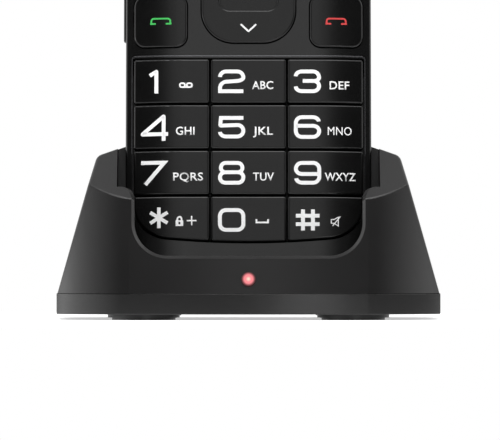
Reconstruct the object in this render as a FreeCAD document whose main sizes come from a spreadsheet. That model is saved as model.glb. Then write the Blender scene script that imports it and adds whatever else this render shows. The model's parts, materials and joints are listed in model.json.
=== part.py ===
"""Flip phone standing open in its charging dock.

World frame, millimetres: X to the right, Y to the back, Z up, with the origin on the
surface under the middle of the dock.  The lower half of the phone and the lid are each
drawn upright in a frame of their own and then leaned into place:

* lower half: Z runs along the phone from its bottom end, and depth is counted forward
  (towards -Y) from the back of the battery cover;
* lid: Z runs away from the hinge axis, and depth is counted forward from that axis, so
  the outer skin of the lid has a negative depth.
"""
import FreeCAD, Part
import math
import os
import Sketcher
from FreeCAD import Placement, Rotation, Vector

SIZES = {
    # How the phone stands
    "lean_angle": 12.0,            # lower half leans back by this much, in degrees
    "open_angle": 165.0,           # between the two halves when the lid is open
    "phone_back": -4.55,           # Y of the lower half's bottom rear edge
    "phone_floor": 8.5,            # Z of that edge, above the table
    # Lower half of the phone
    "phone_width": 52.0,
    "front_depth": 10.4,           # face of the front cover
    "parting_depth": 4.8,          # seam between front and rear covers
    "wall": 1.2,                   # moulded casing walls
    "merge": 0.2,                  # joined solids run this far into each other
    "overcut": 0.1,                # cuts run this far beyond the wall they pierce
    "front_skin": 2.5,             # thickness of the keypad frame
    "bottom_corner": 8.0,
    "top_corner": 2.0,
    "back_edge": 1.8,              # rounding round the back
    "front_edge": 0.5,
    "crown_flat": 14.0,            # half width of the flat middle of the front
    "crown_radius": 56.0,          # the front falls away outside that
    # Keypad
    "keypad_bottom": 5.9,
    "keypad_width": 48.8,
    "keypad_curve": 180.0,         # radius of the keypad's lower edge
    "lowest_drop": 0.3,            # the lowest keys are taller than the others
    "key_pitch": 9.92,
    "key_gap": 0.34,               # joint line between neighbouring keys
    "key_rise": 0.4,               # keys stand proud of the frame
    "key_thickness": 2.4,
    "key_corner": 0.5,
    "outer_key_corner": 7.6,
    "key_edge": 0.42,
    "hole_gap": 0.2,               # round keys that sit in holes of their own
    # Function keys
    "side_key_inner": 13.0,
    "side_key_start": 2.42,        # from the number keys up to the call key
    "call_key_height": 11.4,
    "side_key_spacing": 1.6,
    "soft_key_height": 9.4,
    "head_room": 6.2,              # from the soft keys to the cover's upper end
    "side_key_corner": 2.4,
    "rocker_width": 20.0,
    "rocker_inset": 0.9,           # shorter than the side keys at both ends
    "rocker_dish": 7.2,            # from each end to the dish in its middle
    "rocker_dish_depth": 0.5,
    "rocker_dish_half": 6.0,
    "rocker_dish_corner": 2.0,
    "pivot_radius": 0.5,           # rib on which a rocker tilts
    "pivot_sink": 0.1,
    "pivot_half": 5.0,
    "rocker_corner": 7.0,
    # Layers behind the keys
    "board_depth": 6.3,
    "board_thickness": 0.8,
    "dome_thickness": 0.25,
    "mat_thickness": 0.5,
    "mat_nub_height": 0.1,
    "mat_nub_radius": 2.0,
    "mat_bottom": 6.6,
    "mat_margin": 0.4,             # mat above the soft keys
    "board_bottom": 2.9,
    "board_head": 1.6,             # board to the cover's upper end
    "layer_gap": 1.0,              # layers to the casing walls, at the sides
    "layer_corner": 5.0,
    # Battery and its cover
    "bay_width": 44.0,
    "bay_bottom": 31.0,
    "bay_head": 8.2,
    "bay_floor": 5.2,
    "bay_skin": 0.8,
    "bay_rim": 1.3,
    "battery_gap": 0.5,
    "battery_thickness": 3.7,
    "battery_edge": 0.9,
    "cover_thickness": 1.0,
    "cover_margin": 0.8,           # cover overlaps the rim of the bay
    "cover_gap": 0.15,
    "cover_corner": 2.5,
    "grip_half": 5.0,              # thumb rest in the battery cover
    "grip_start": 2.0,
    "grip_height": 2.2,
    "grip_corner": 1.0,
    "grip_depth": 0.4,
    # Fastenings of the lower half
    "screw_across": 19.3,
    "screw_low": 4.0,
    "screw_head_room": 3.6,        # upper screws to the cover's upper end
    "screw_radius": 0.8,
    "screw_head_radius": 1.5,
    "screw_head_height": 0.7,
    "screw_sink": 0.5,
    "screw_bite": 2.0,
    "screw_gap": 0.05,
    "boss_radius": 2.0,
    "rear_boss_radius": 2.6,
    "lid_boss_radius": 2.5,
    "boss_gap": 0.3,
    # Bottom end
    "contact_spread": 4.0,         # charging contacts either side of the middle
    "contact_width": 3.0,
    "contact_height": 2.2,
    "contact_sink": 0.6,
    "contact_top": 5.0,
    "port_across": -11.8,
    "port_width": 7.5,
    "port_height": 2.6,
    "port_length": 5.2,
    "port_mouth_width": 6.9,
    "port_mouth_height": 1.85,
    "port_gap": 0.15,
    "port_corner": 0.8,
    "port_end_wall": 0.8,
    "port_tongue_half": 2.4,
    "port_tongue_thickness": 0.6,
    "port_tongue_sink": 0.8,
    "microphone_across": 11.0,
    "microphone_mouth": 0.5,
    "microphone_inset": 0.3,
    "fitting_corner": 0.5,
    "microphone_width": 3.8,
    "microphone_length": 2.9,
    "microphone_thickness": 1.1,
    # Parts on the board
    "speaker_across": -15.5,
    "speaker_up": 19.5,
    "speaker_radius": 7.0,
    "speaker_thickness": 3.2,
    "speaker_edge": 0.5,
    "grille_slots": 5,
    "grille_pitch": 2.0,
    "grille_slot_width": 0.8,
    "grille_slot_length": 7.0,
    "slot_roundness": 0.9,         # share of a slot's half width that its corners take
    "motor_across": 15.0,
    "motor_up": 19.5,
    "motor_radius": 4.0,
    "motor_thickness": 2.7,
    "sim_width": 13.0,
    "sim_length": 15.0,
    "sim_bottom": 11.0,
    "sim_thickness": 1.5,
    # Volume rocker on the left side
    "volume_start": 2.0,           # above the call key's lower edge
    "volume_length": 14.0,
    "volume_low_depth": 5.2,
    "volume_high_depth": 6.9,
    "volume_rise": 0.5,
    "volume_inner": 24.5,
    # Hinge
    "hinge_rise": 5.4,             # axis above the cover's upper end
    "ear_root": 4.1,               # knuckle's neck reaches this far below that end
    "ear_chin": 2.5,
    "hinge_gap": 0.9,              # between the two halves when the lid is closed
    "barrel_radius": 4.6,
    "barrel_half": 17.3,           # the lid's barrel, either side of the middle
    "knuckle_gap": 0.2,
    "pin_radius": 1.5,
    "pin_gap": 0.05,
    "pin_end": 1.5,                # wall left at the outer end of each knuckle
    "cartridge_radius": 3.1,
    "cartridge_length": 14.0,
    "cartridge_gap": 0.2,
    # Lid
    "lid_width": 51.0,
    "lid_start": 5.4,
    "lid_end_gap": 0.5,            # closed lid ends this far short of the lower half
    "lid_parting": 4.6,
    "lid_step": 0.7,               # depth of the hollow round the lid's panels
    "lid_hollow_inset": 5.0,
    "lid_hollow_corner": 2.0,
    "lid_thickness": 8.5,
    "lid_tip_corner": 8.0,
    "lid_tongue": 26.5,            # length of the narrower free end
    "lid_taper": 8.0,
    "lid_shoulder_bend": 12.0,
    "lip_gap": 0.45,
    "lid_crown_flat": 12.0,
    "lid_crown_radius": 34.0,
    "lid_edge": 1.6,
    "screen_width": 38.6,
    "screen_bottom": 17.0,
    "screen_head": 13.9,           # to the lid's free end
    "screen_margin": 2.4,
    "window_thickness": 0.7,
    "window_sink": 0.1,
    "window_gap": 0.1,
    "window_corner": 2.0,
    "panel_margin": 1.2,
    "panel_thickness": 1.9,
    "panel_gap": 0.1,
    "panel_corner": 0.7,
    "earpiece_head": 7.2,
    "earpiece_width": 10.0,
    "earpiece_height": 1.4,
    "earpiece_body_width": 12.0,
    "earpiece_body_height": 5.0,
    "earpiece_thickness": 2.2,
    "small_screen_width": 25.0,
    "small_screen_bottom": 30.0,
    "small_screen_top": 50.0,
    "small_screen_margin": 1.8,
    "small_panel_thickness": 1.3,
    "camera_head": 16.5,
    "camera_radius": 3.4,
    "camera_window_radius": 4.2,
    "camera_window_thickness": 0.7,
    "camera_lens_sink": 1.6,
    "lid_board_gap": 0.2,
    "lid_board_corner": 1.5,
    "lid_board_thickness": 0.7,
    "lid_board_bottom": 13.0,
    "lid_board_head": 11.5,
    "bumper_across": 19.5,
    "bumper_head": 5.1,
    "bumper_radius": 1.6,
    "bumper_height": 0.55,
    "bumper_seat": 0.4,
    "lid_screw_across": 20.2,
    "lid_screw_up": 9.8,
    # Dock shell
    "foot_inset": 0.2,             # the shell is narrower than its base plate, each side
    "shoulder_half": 32.0,
    "shoulder_height": 34.5,
    "arm_top_half": 26.1,
    "arm_top": 36.6,
    "shoulder_corner": 2.0,
    "seam_height": 5.6,
    "dock_wall": 2.2,
    "bow_radius": 180.0,           # the front is slightly bowed in plan
    "wing_reach": 15.4,            # and turns into rounder wings this far from its sides
    "wing_radius": 22.0,
    "rear_top": 7.5,
    "rear_corner": 8.0,
    "slope_start": 23.8,           # where the front turns into the sloping top
    "slope_angle": 39.0,
    "slope_corner": 1.6,
    "slope_lead": 6.0,             # the side outline starts this far in front of the slope
    "crest_corner": 3.0,
    "dock_edge": 0.7,
    # Slot for the closed phone
    "slot_half": 27.7,
    "slot_depth": 20.0,
    "slot_back": 0.3,
    "slot_floor": 0.3,
    "slot_wall": 1.6,
    "slot_side_wall": 2.2,
    "seat_half": 26.4,
    "seat_height": 9.0,
    "lip_half": 23.95,
    "lip_wall": 4.2,
    "notch_bottom": 13.5,
    "notch_corner": 7.0,
    "lip_top": 28.4,
    "lip_round": 3.1,
    "notch_edge": 0.6,             # bevel along the front of the notch
    # Base plate, ballast and feet
    "plate_half": 40.4,
    "plan_spare": 0.6,             # the shell's plan is wider than the plate at its foot
    "plate_floor": 1.6,
    "plate_edge": 0.2,
    "foot_height": 1.2,
    "foot_step": 0.5,
    "foot_radius": 7.6,
    "foot_tread_radius": 6.7,
    "foot_across": 22.05,
    "foot_along": 18.0,
    "ballast_inner": 13.5,
    "ballast_gap": 1.4,            # to the screw posts
    "ballast_front": -19.0,
    "ballast_rear": 23.0,
    "ballast_thickness": 2.6,
    "dock_screw_inset": 5.4,       # from the base plate's sides
    "dock_screw_front": -9.0,
    "dock_screw_rear": 19.0,
    "dock_screw_radius": 1.2,
    "dock_screw_head": 2.3,
    "dock_screw_head_height": 1.0,
    "dock_screw_top": 11.0,
    "dock_screw_sink": 0.2,
    "pilot_spare": 0.3,            # screw holes are deeper than the screws
    "dock_boss_radius": 2.6,
    "dock_boss_top": 13.0,
    # Charging contacts, light and socket of the dock
    "dock_board_half": 11.0,
    "dock_board_inset": 2.9,       # from the front of the base plate
    "dock_board_rear_inset": 3.4,
    "dock_board_height": 3.6,
    "dock_board_thickness": 1.0,
    "standoff_radius": 1.6,
    "standoff_inset": 2.0,         # from the board's sides, front and rear
    "standoff_front": 3.0,
    "standoff_rear": 9.0,
    "spring_pin_radius": 0.75,
    "spring_pin_guide": 0.05,
    "pin_hole_gap": 0.15,
    "holder_gap": 0.1,             # between the slot's floor and the contact holder
    "dock_board_corner": 1.0,
    "spring_pin_tip": 0.5,
    "spring_pin_tail": 2.6,
    "spring_flange_radius": 1.2,
    "spring_flange_height": 0.5,
    "spring_cavity_radius": 1.4,
    "spring_cavity_end": 4.3,
    "spring_bore": 0.6,
    "holder_half": 7.2,
    "holder_low_depth": 3.3,
    "holder_high_depth": 7.5,
    "holder_end": 4.6,
    "light_height": 8.6,
    "light_radius": 1.48,
    "light_gap": 0.05,
    "light_rise": 0.35,
    "light_length": 5.1,
    "light_leg_radius": 1.2,
    "light_heel": 0.3,             # lens beyond the back of its leg
    "socket_half": 3.75,
    "socket_height": 2.7,
    "socket_length": 5.6,
    "socket_inset": 1.0,
    "socket_mouth_half": 3.45,
    "socket_mouth_height": 1.85,
    "socket_mouth_length": 4.6,
    "socket_tongue_half": 2.45,
    "socket_tongue_thickness": 0.6,
    "socket_tongue_sink": 0.8,
    "socket_gap": 0.25,
}


class Size:
    """A number that remembers the spreadsheet expression it comes from."""

    def __init__(self, text, number):
        self.text = text
        self.number = number

    def __add__(self, other):
        other = size(other)
        return Size(f"({self.text} + {other.text})", self.number + other.number)

    def __sub__(self, other):
        other = size(other)
        return Size(f"({self.text} - {other.text})", self.number - other.number)

    def __mul__(self, other):
        other = size(other)
        return Size(f"({self.text} * {other.text})", self.number * other.number)

    def __truediv__(self, other):
        other = size(other)
        return Size(f"({self.text} / {other.text})", self.number / other.number)

    def __radd__(self, other):
        return size(other) + self

    def __rsub__(self, other):
        return size(other) - self

    def __rmul__(self, other):
        return size(other) * self

    def __rtruediv__(self, other):
        return size(other) / self

    def __neg__(self):
        return Size(f"(0 - {self.text})", -self.number)


def size(value):
    """A plain number as a Size, so the two mix freely."""
    return value if isinstance(value, Size) else Size(repr(float(value)), float(value))


def root(value):
    return Size(f"sqrt({value.text})", math.sqrt(value.number))


def sine(angle):
    return Size(f"sin({angle.text})", math.sin(math.radians(angle.number)))


def cosine(angle):
    return Size(f"cos({angle.text})", math.cos(math.radians(angle.number)))


def tangent(angle):
    return Size(f"tan({angle.text})", math.tan(math.radians(angle.number)))


def fall(radius, across):
    """How far a circle of this radius has dropped at a distance from its crest."""
    return radius - root(radius * radius - across * across)


document = FreeCAD.newDocument("FlipPhone")
sheet = document.addObject("Spreadsheet::Sheet", "dims")
for line, (alias, number) in enumerate(SIZES.items(), 1):
    sheet.set(f"A{line}", alias.replace("_", " "))
    sheet.set(f"B{line}", str(number))
    sheet.setAlias(f"B{line}", alias)
document.recompute()


class Dims:
    """Reads the driving dimensions as Size values: dims.wall, dims.slot_half and so on."""

    def __getattr__(self, alias):
        return Size(f"dims.{alias}", float(sheet.get(alias)))


dims = Dims()
sub_parts = []


def bind(thing, name, value):
    thing.setExpression(name, size(value).text)


def corner(x, y, rounding=0, bend=0):
    """A corner of an outline.

    rounding is the radius that replaces the corner.  bend makes the edge that leaves the
    corner an arc of that radius, with its centre on the left of the way along it, or on
    the right if it is negative.
    """
    return size(x), size(y), size(rounding), size(bend)


def mirrored(right_half):
    """A whole outline from its right half, listed from the bottom to the top.

    A corner on the middle line is listed once.  The left half is walked downwards, so a
    bend there belongs to the corner before it.
    """
    left_half = []
    walked = list(reversed(right_half))
    for place, (x, y, rounding, _) in enumerate(walked):
        bend = walked[place + 1][3] if place + 1 < len(walked) else size(0)
        if abs(x.number) > 1e-9:
            left_half.append((-x, y, rounding, bend))
    return list(right_half) + left_half


def rectangle(left, right, low, high, rounding=0):
    return [corner(left, low, rounding), corner(right, low, rounding),
            corner(right, high, rounding), corner(left, high, rounding)]


def arc_between(start, end, bend):
    """The shorter arc from start to end, and whether it is walked counterclockwise."""
    chord = end - start
    to_left = Vector(-chord.y, chord.x, 0).normalize()
    rise = math.sqrt(bend * bend - chord.Length ** 2 / 4)
    centre = (start + end) * 0.5 + to_left * (rise if bend > 0 else -rise)
    first, last = (start, end) if bend > 0 else (end, start)
    angles = [math.atan2(point.y - centre.y, point.x - centre.x) for point in (first, last)]
    circle = Part.Circle(centre, Vector(0, 0, 1), abs(bend))
    return Part.ArcOfCircle(circle, *angles), bend > 0


def draw_outline(sketch, corners):
    """Adds one closed outline of lines and arcs, held by its corners' expressions."""
    count = len(corners)
    points = [Vector(x.number, y.number, 0) for x, y, _, _ in corners]
    trims = []
    fillets = []
    for place, (_, _, rounding, _) in enumerate(corners):
        back = (points[place - 1] - points[place]).normalize()
        ahead = (points[(place + 1) % count] - points[place]).normalize()
        if rounding.number <= 0:
            trims.append((points[place], points[place]))
            fillets.append(None)
            continue
        half_turn = math.acos(max(-1.0, min(1.0, back.dot(ahead)))) / 2
        trim = rounding.number / math.tan(half_turn)
        centre = points[place] + (back + ahead).normalize() * (rounding.number / math.sin(half_turn))
        start = points[place] + back * trim
        end = points[place] + ahead * trim
        turns_left = (-back).cross(ahead).z > 0
        first, last = (start, end) if turns_left else (end, start)
        angles = [math.atan2(point.y - centre.y, point.x - centre.x) for point in (first, last)]
        circle = Part.Circle(centre, Vector(0, 0, 1), rounding.number)
        fillets.append((Part.ArcOfCircle(circle, *angles), turns_left))
        trims.append((start, end))
    edges = []
    for place, (_, _, _, bend) in enumerate(corners):
        start = trims[place][1]
        end = trims[(place + 1) % count][0]
        if bend.number:
            shape, forward = arc_between(start, end, bend.number)
        else:
            shape, forward = Part.LineSegment(start, end), True
        edges.append((sketch.addGeometry(shape, False), forward))
        if bend.number:
            hold(sketch, "Radius", abs_size(bend), edges[-1][0])
    for place, (x, y, rounding, _) in enumerate(corners):
        before, before_forward = edges[place - 1]
        after, after_forward = edges[place]
        before_end = 2 if before_forward else 1
        after_start = 1 if after_forward else 2
        if fillets[place] is None:
            sketch.addConstraint(Sketcher.Constraint("Coincident", before, before_end, after, after_start))
            hold_point(sketch, x, y, after, after_start)
            continue
        shape, turns_left = fillets[place]
        bow = sketch.addGeometry(shape, False)
        peak = sketch.addGeometry(Part.Point(points[place]), True)
        hold_point(sketch, x, y, peak, 1)
        bow_start, bow_end = (1, 2) if turns_left else (2, 1)
        sketch.addConstraint([
            Sketcher.Constraint("PointOnObject", peak, 1, before),
            Sketcher.Constraint("PointOnObject", peak, 1, after),
            Sketcher.Constraint("Tangent", before, before_end, bow, bow_start),
            Sketcher.Constraint("Tangent", bow, bow_end, after, after_start)])
        hold(sketch, "Radius", rounding, bow)


def abs_size(value):
    return value if value.number > 0 else -value


def hold(sketch, kind, value, *where):
    """Adds a dimension to the sketch and binds it to its expression."""
    index = sketch.addConstraint(Sketcher.Constraint(kind, *where, size(value).number))
    sketch.setExpression(f"Constraints[{index}]", size(value).text)


def hold_point(sketch, x, y, geometry, end):
    hold(sketch, "DistanceX", x, -1, 1, geometry, end)
    hold(sketch, "DistanceY", y, -1, 1, geometry, end)


def draw(sketch, outlines):
    """Fills a sketch: a list is an outline of corners, a tuple is a circle (x, y, radius)."""
    for outline in outlines:
        if isinstance(outline, list):
            draw_outline(sketch, outline)
            continue
        x, y, radius = (size(value) for value in outline)
        circle = Part.Circle(Vector(x.number, y.number, 0), Vector(0, 0, 1), radius.number)
        ring = sketch.addGeometry(circle, False)
        hold_point(sketch, x, y, ring, 3)
        hold(sketch, "Radius", radius, ring)


PLANES = {"front": "XZ_Plane", "side": "YZ_Plane", "top": "XY_Plane"}


class Piece:
    """A moulded or machined piece, built up from sketches in a body of its own.

    A sketch on the front plane is read as (X, Z) and its heights are depths towards -Y,
    on the side plane as (Y, Z) with heights along X, and on the top plane as (X, Y).
    """

    def __init__(self, label, lean=None):
        self.body = document.addObject("PartDesign::Body", label)
        self.body.Label = label
        self.lean = lean
        self.features = 0

    def sketch(self, plane, outlines, height):
        self.features += 1
        sketch = self.body.newObject("Sketcher::SketchObject", f"{self.body.Label}_sketch_{self.features}")
        origin = [item for item in self.body.Origin.OriginFeatures if item.Role == PLANES[plane]][0]
        sketch.AttachmentSupport = [(origin, "")]
        sketch.MapMode = "FlatFace"
        bind(sketch, "AttachmentOffset.Base.z", height)
        draw(sketch, outlines)
        return sketch

    def feature(self, kind, plane, outlines, low, high):
        profile = self.sketch(plane, outlines, low)
        feature = self.body.newObject(f"PartDesign::{kind}", f"{self.body.Label}_{kind.lower()}_{self.features}")
        feature.Profile = profile
        bind(feature, "Length", size(high) - low)
        profile.Visibility = False
        return feature

    def pad(self, plane, outlines, low, high):
        self.feature("Pad", plane, outlines, low, high)
        return self

    def cut(self, plane, outlines, low, high):
        self.feature("Pocket", plane, outlines, low, high).Reversed = True
        return self

    def soften(self, kind, amount, wanted):
        """Rounds or bevels the edges whose middle and direction the test accepts."""
        document.recompute()
        tip = self.body.Tip
        names = [f"Edge{number}" for number, edge in enumerate(tip.Shape.Edges, 1)
                 if wanted(edge.valueAt((edge.FirstParameter + edge.LastParameter) / 2), edge)]
        feature = self.body.newObject(f"PartDesign::{kind}", f"{self.body.Label}_{kind.lower()}_{self.features}")
        feature.Base = (tip, names)
        bind(feature, "Radius" if kind == "Fillet" else "Size", amount)
        return self

    def round(self, amount, wanted):
        return self.soften("Fillet", amount, wanted)

    def done(self):
        if self.lean:
            self.lean(self.body)
        sub_parts.append(self.body)
        return self.body


def block(name, x, y, z):
    """A box from its (low, high) pairs along each axis."""
    box = document.addObject("Part::Box", name)
    for side, axis, (low, high) in zip(("Length", "Width", "Height"), "xyz", (x, y, z)):
        bind(box, side, size(high) - low)
        bind(box, f"Placement.Base.{axis}", low)
    return box


AXIS_TURNS = {"x": Rotation(Vector(0, 1, 0), 90), "y": Rotation(Vector(1, 0, 0), -90),
              "depth": Rotation(Vector(1, 0, 0), 90), "z": Rotation()}


def rod(name, axis, centre, low, high, radius):
    """A cylinder along x, y, z or depth; centre gives its two other coordinates in order."""
    cylinder = document.addObject("Part::Cylinder", name)
    cylinder.Placement = Placement(Vector(), AXIS_TURNS[axis])
    bind(cylinder, "Radius", radius)
    bind(cylinder, "Height", size(high) - low)
    start = -size(low) if axis == "depth" else size(low)
    along = "y" if axis == "depth" else axis
    others = [letter for letter in "xyz" if letter != along]
    bind(cylinder, f"Placement.Base.{along}", start)
    for other, value in zip(others, centre):
        bind(cylinder, f"Placement.Base.{other}", value)
    return cylinder


def combine(kind, name, parts):
    joined = document.addObject(f"Part::{kind}", name)
    if kind == "Compound":
        joined.Links = parts
    else:
        joined.Shapes = parts
        joined.Refine = True
    return joined


def join(name, *parts):
    return combine("MultiFuse", name, list(parts))


def overlap(name, *parts):
    return combine("MultiCommon", name, list(parts))


def group(name, parts):
    return combine("Compound", name, list(parts))


def carve(name, base, *tools):
    cut = document.addObject("Part::Cut", name)
    cut.Base = base
    cut.Tool = tools[0] if len(tools) == 1 else join(f"{name}_tools", *tools)
    cut.Refine = True
    return cut


def leaned(thing, lean):
    """A primitive in a frame of its own, so that leaning it keeps its place there."""
    frame = group(f"{thing.Name}_leaned", [thing])
    lean(frame)
    return frame


def eased(kind, name, base, reach, wanted):
    """Fillets or chamfers the edges whose middle and shape the test accepts."""
    document.recompute()
    easing = document.addObject(f"Part::{kind}", name)
    easing.Base = base
    easing.Edges = [(number, reach.number, reach.number)
                    for number, edge in enumerate(base.Shape.Edges, 1)
                    if wanted(edge.valueAt((edge.FirstParameter + edge.LastParameter) / 2), edge)]
    return easing


def finish(thing, label, lean=None):
    """Names a sub-part and leans it into place."""
    if thing.isDerivedFrom("Part::Primitive"):
        thing = group(f"{thing.Name}_frame", [thing])
    thing.Label = label
    if lean:
        lean(thing)
    sub_parts.append(thing)
    return thing


def twin(label, source):
    """The left-hand twin of a sub-part that is already in place."""
    mirrored_piece = document.addObject("Part::Mirroring", f"{label}_twin")
    mirrored_piece.Source = source
    mirrored_piece.Normal = Vector(1, 0, 0)
    return finish(mirrored_piece, label)


def stand(thing):
    """Leans a piece of the lower half back into the dock."""
    thing.Placement = Placement(Vector(), Rotation(Vector(1, 0, 0), 1))
    bind(thing, "Placement.Rotation.Angle", -dims.lean_angle)
    bind(thing, "Placement.Base.y", dims.phone_back)
    bind(thing, "Placement.Base.z", dims.phone_floor)


def open_up(thing):
    """Stands a piece of the lid on the hinge axis, at the open angle."""
    thing.Placement = Placement(Vector(), Rotation(Vector(1, 0, 0), 1))
    bind(thing, "Placement.Rotation.Angle", 180 - dims.open_angle - dims.lean_angle)
    bind(thing, "Placement.Base.y", dims.phone_back - hinge_depth * cosine(dims.lean_angle)
         + hinge_height * sine(dims.lean_angle))
    bind(thing, "Placement.Base.z", dims.phone_floor + hinge_depth * sine(dims.lean_angle)
         + hinge_height * cosine(dims.lean_angle))


half = dims.phone_width / 2
hinge_depth = dims.front_depth + dims.hinge_gap / 2
knuckle_inner = dims.barrel_half + dims.knuckle_gap
key_face = dims.front_depth + dims.key_rise
key_back = key_face - dims.key_thickness
cavity_front = dims.front_depth - dims.front_skin
window_half = dims.keypad_width / 2 + dims.hole_gap / 2
board_face = dims.board_depth + dims.board_thickness
dome_face = board_face + dims.dome_thickness
mat_face = dome_face + dims.mat_thickness
layer_half = half - dims.wall - dims.layer_gap
call_zone_top = dims.keypad_bottom + 4 * dims.key_pitch
call_key_bottom = call_zone_top + dims.side_key_start
call_key_top = call_key_bottom + dims.call_key_height
soft_key_bottom = call_key_top + dims.side_key_spacing
soft_key_top = soft_key_bottom + dims.soft_key_height
rocker_bottom = call_key_bottom + dims.rocker_inset
rocker_top = soft_key_top - dims.rocker_inset
rocker_middle = (rocker_bottom + rocker_top) / 2
volume_bottom = call_key_bottom + dims.volume_start
volume_top = volume_bottom + dims.volume_length
lower_length = soft_key_top + dims.head_room
hinge_height = lower_length + dims.hinge_rise
lid_length = hinge_height - dims.lid_end_gap
bay_top = lower_length - dims.bay_head
side_key_outer = dims.keypad_width / 2 - dims.key_gap / 2


def lower_outline(inset=0):
    """Front view of the lower half, shrunk all round by inset."""
    side = half - inset
    return mirrored([corner(side, inset, dims.bottom_corner - inset),
                     corner(side, lower_length - inset, dims.top_corner)])


def crown_cuts(face, flat, radius, reach):
    """Top-view regions in front of a crowned face, flat in the middle and round beside it."""
    over = face + 10
    low = fall(radius, reach - flat) - face
    right = [corner(flat, -face, 0, radius), corner(reach, low), corner(reach, -over),
             corner(flat, -over)]
    left = [corner(-reach, low, 0, radius), corner(-flat, -face), corner(-flat, -over),
            corner(-reach, -over)]
    return [right, left]


def back_crown_cuts(face, flat, radius, reach):
    """The same behind a crowned back, whose crest lies at Y = face."""
    over = face + 10
    low = face - fall(radius, reach - flat)
    right = [corner(flat, face, 0, -radius), corner(reach, low), corner(reach, over),
             corner(flat, over)]
    left = [corner(-reach, low, 0, -radius), corner(-flat, face), corner(-flat, over),
            corner(-reach, over)]
    return [right, left]


def keypad_edge(across):
    """Height of the keypad's curved lower edge at a distance from the middle."""
    return dims.keypad_bottom - dims.lowest_drop + fall(dims.keypad_curve, across)


def keypad_window():
    """Opening for the twelve number keys, with its lower edge on the keypad's curve."""
    top = call_zone_top + dims.hole_gap / 2
    low = keypad_edge(window_half) - dims.hole_gap / 2
    return [corner(-window_half, low, 0, dims.keypad_curve), corner(window_half, low),
            corner(window_half, top), corner(-window_half, top)]


def key_corners(left, right, row):
    """Outline of a number key in its cell; the lowest row ends on the keypad's curve."""
    top = dims.keypad_bottom + (row + 1) * dims.key_pitch - dims.key_gap / 2
    left = left + dims.key_gap / 2
    right = right - dims.key_gap / 2
    if row:
        low = dims.keypad_bottom + row * dims.key_pitch + dims.key_gap / 2
        return rectangle(left, right, low, top, dims.key_corner)
    lows = [keypad_edge(edge if edge.number > 0 else -edge) + dims.key_gap / 2
            for edge in (left, right)]
    return [corner(left, lows[0], 0, dims.keypad_curve), corner(right, lows[1]),
            corner(right, top), corner(left, top)]


def stands_in_depth(edge):
    """True for an edge that runs straight from front to back."""
    ends = [vertex.Point for vertex in edge.Vertexes]
    return len(ends) == 2 and (ends[1] - ends[0]).normalize().getAngle(Vector(0, 1, 0)) % math.pi < 1e-3


# Lower half: casing
def screw_places():
    return [(side * dims.screw_across, up) for side in (-1, 1) for up in (dims.screw_low, (lower_length - dims.screw_head_room))]


def contact_windows():
    """Top-view openings in the bottom wall in front of the two charging contacts."""
    wide = dims.contact_width / 2 + dims.port_gap
    deep = dims.contact_height / 2 + dims.port_gap
    return [rectangle(middle - wide, middle + wide, -contact_depth - deep, -contact_depth + deep)
            for middle in (-dims.contact_spread, dims.contact_spread)]


def port_window():
    wide = dims.port_width / 2 + dims.port_gap
    deep = dims.port_height / 2 + dims.port_gap
    return rectangle(dims.port_across - wide, dims.port_across + wide, -port_depth - deep,
                     -port_depth + deep)


def side_key(bottom, top, outer_gap=0):
    """Outline of the right-hand call or soft key, grown all round by outer_gap."""
    return rectangle(dims.side_key_inner - outer_gap, side_key_outer + outer_gap,
                     bottom - outer_gap, top + outer_gap, dims.side_key_corner + outer_gap)


def turned_over(outline):
    """The left-hand twin of an outline."""
    return [(-x, y, rounding, bend) for x, y, rounding, bend in reversed(outline)]


def rocker_outline(gap=0):
    reach = dims.rocker_width / 2 + gap
    return rectangle(-reach, reach, rocker_bottom - gap, rocker_top + gap,
                     dims.rocker_corner + gap)


def volume_outline(gap=0):
    """Side view of the volume rocker."""
    return rectangle(-dims.volume_high_depth - gap, -dims.volume_low_depth + gap,
                     volume_bottom - gap, volume_top + gap, 0.6 + size(gap))


contact_depth = dims.board_depth - dims.contact_height / 2
port_depth = dims.board_depth - dims.port_height / 2
through = size(1)                # a cut starts this far outside the piece
beyond = size(60)               # further out than any face of the part
CLOSE = 0.01                    # an edge nearer than this to a place lies on it
NEARBY = 1


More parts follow.
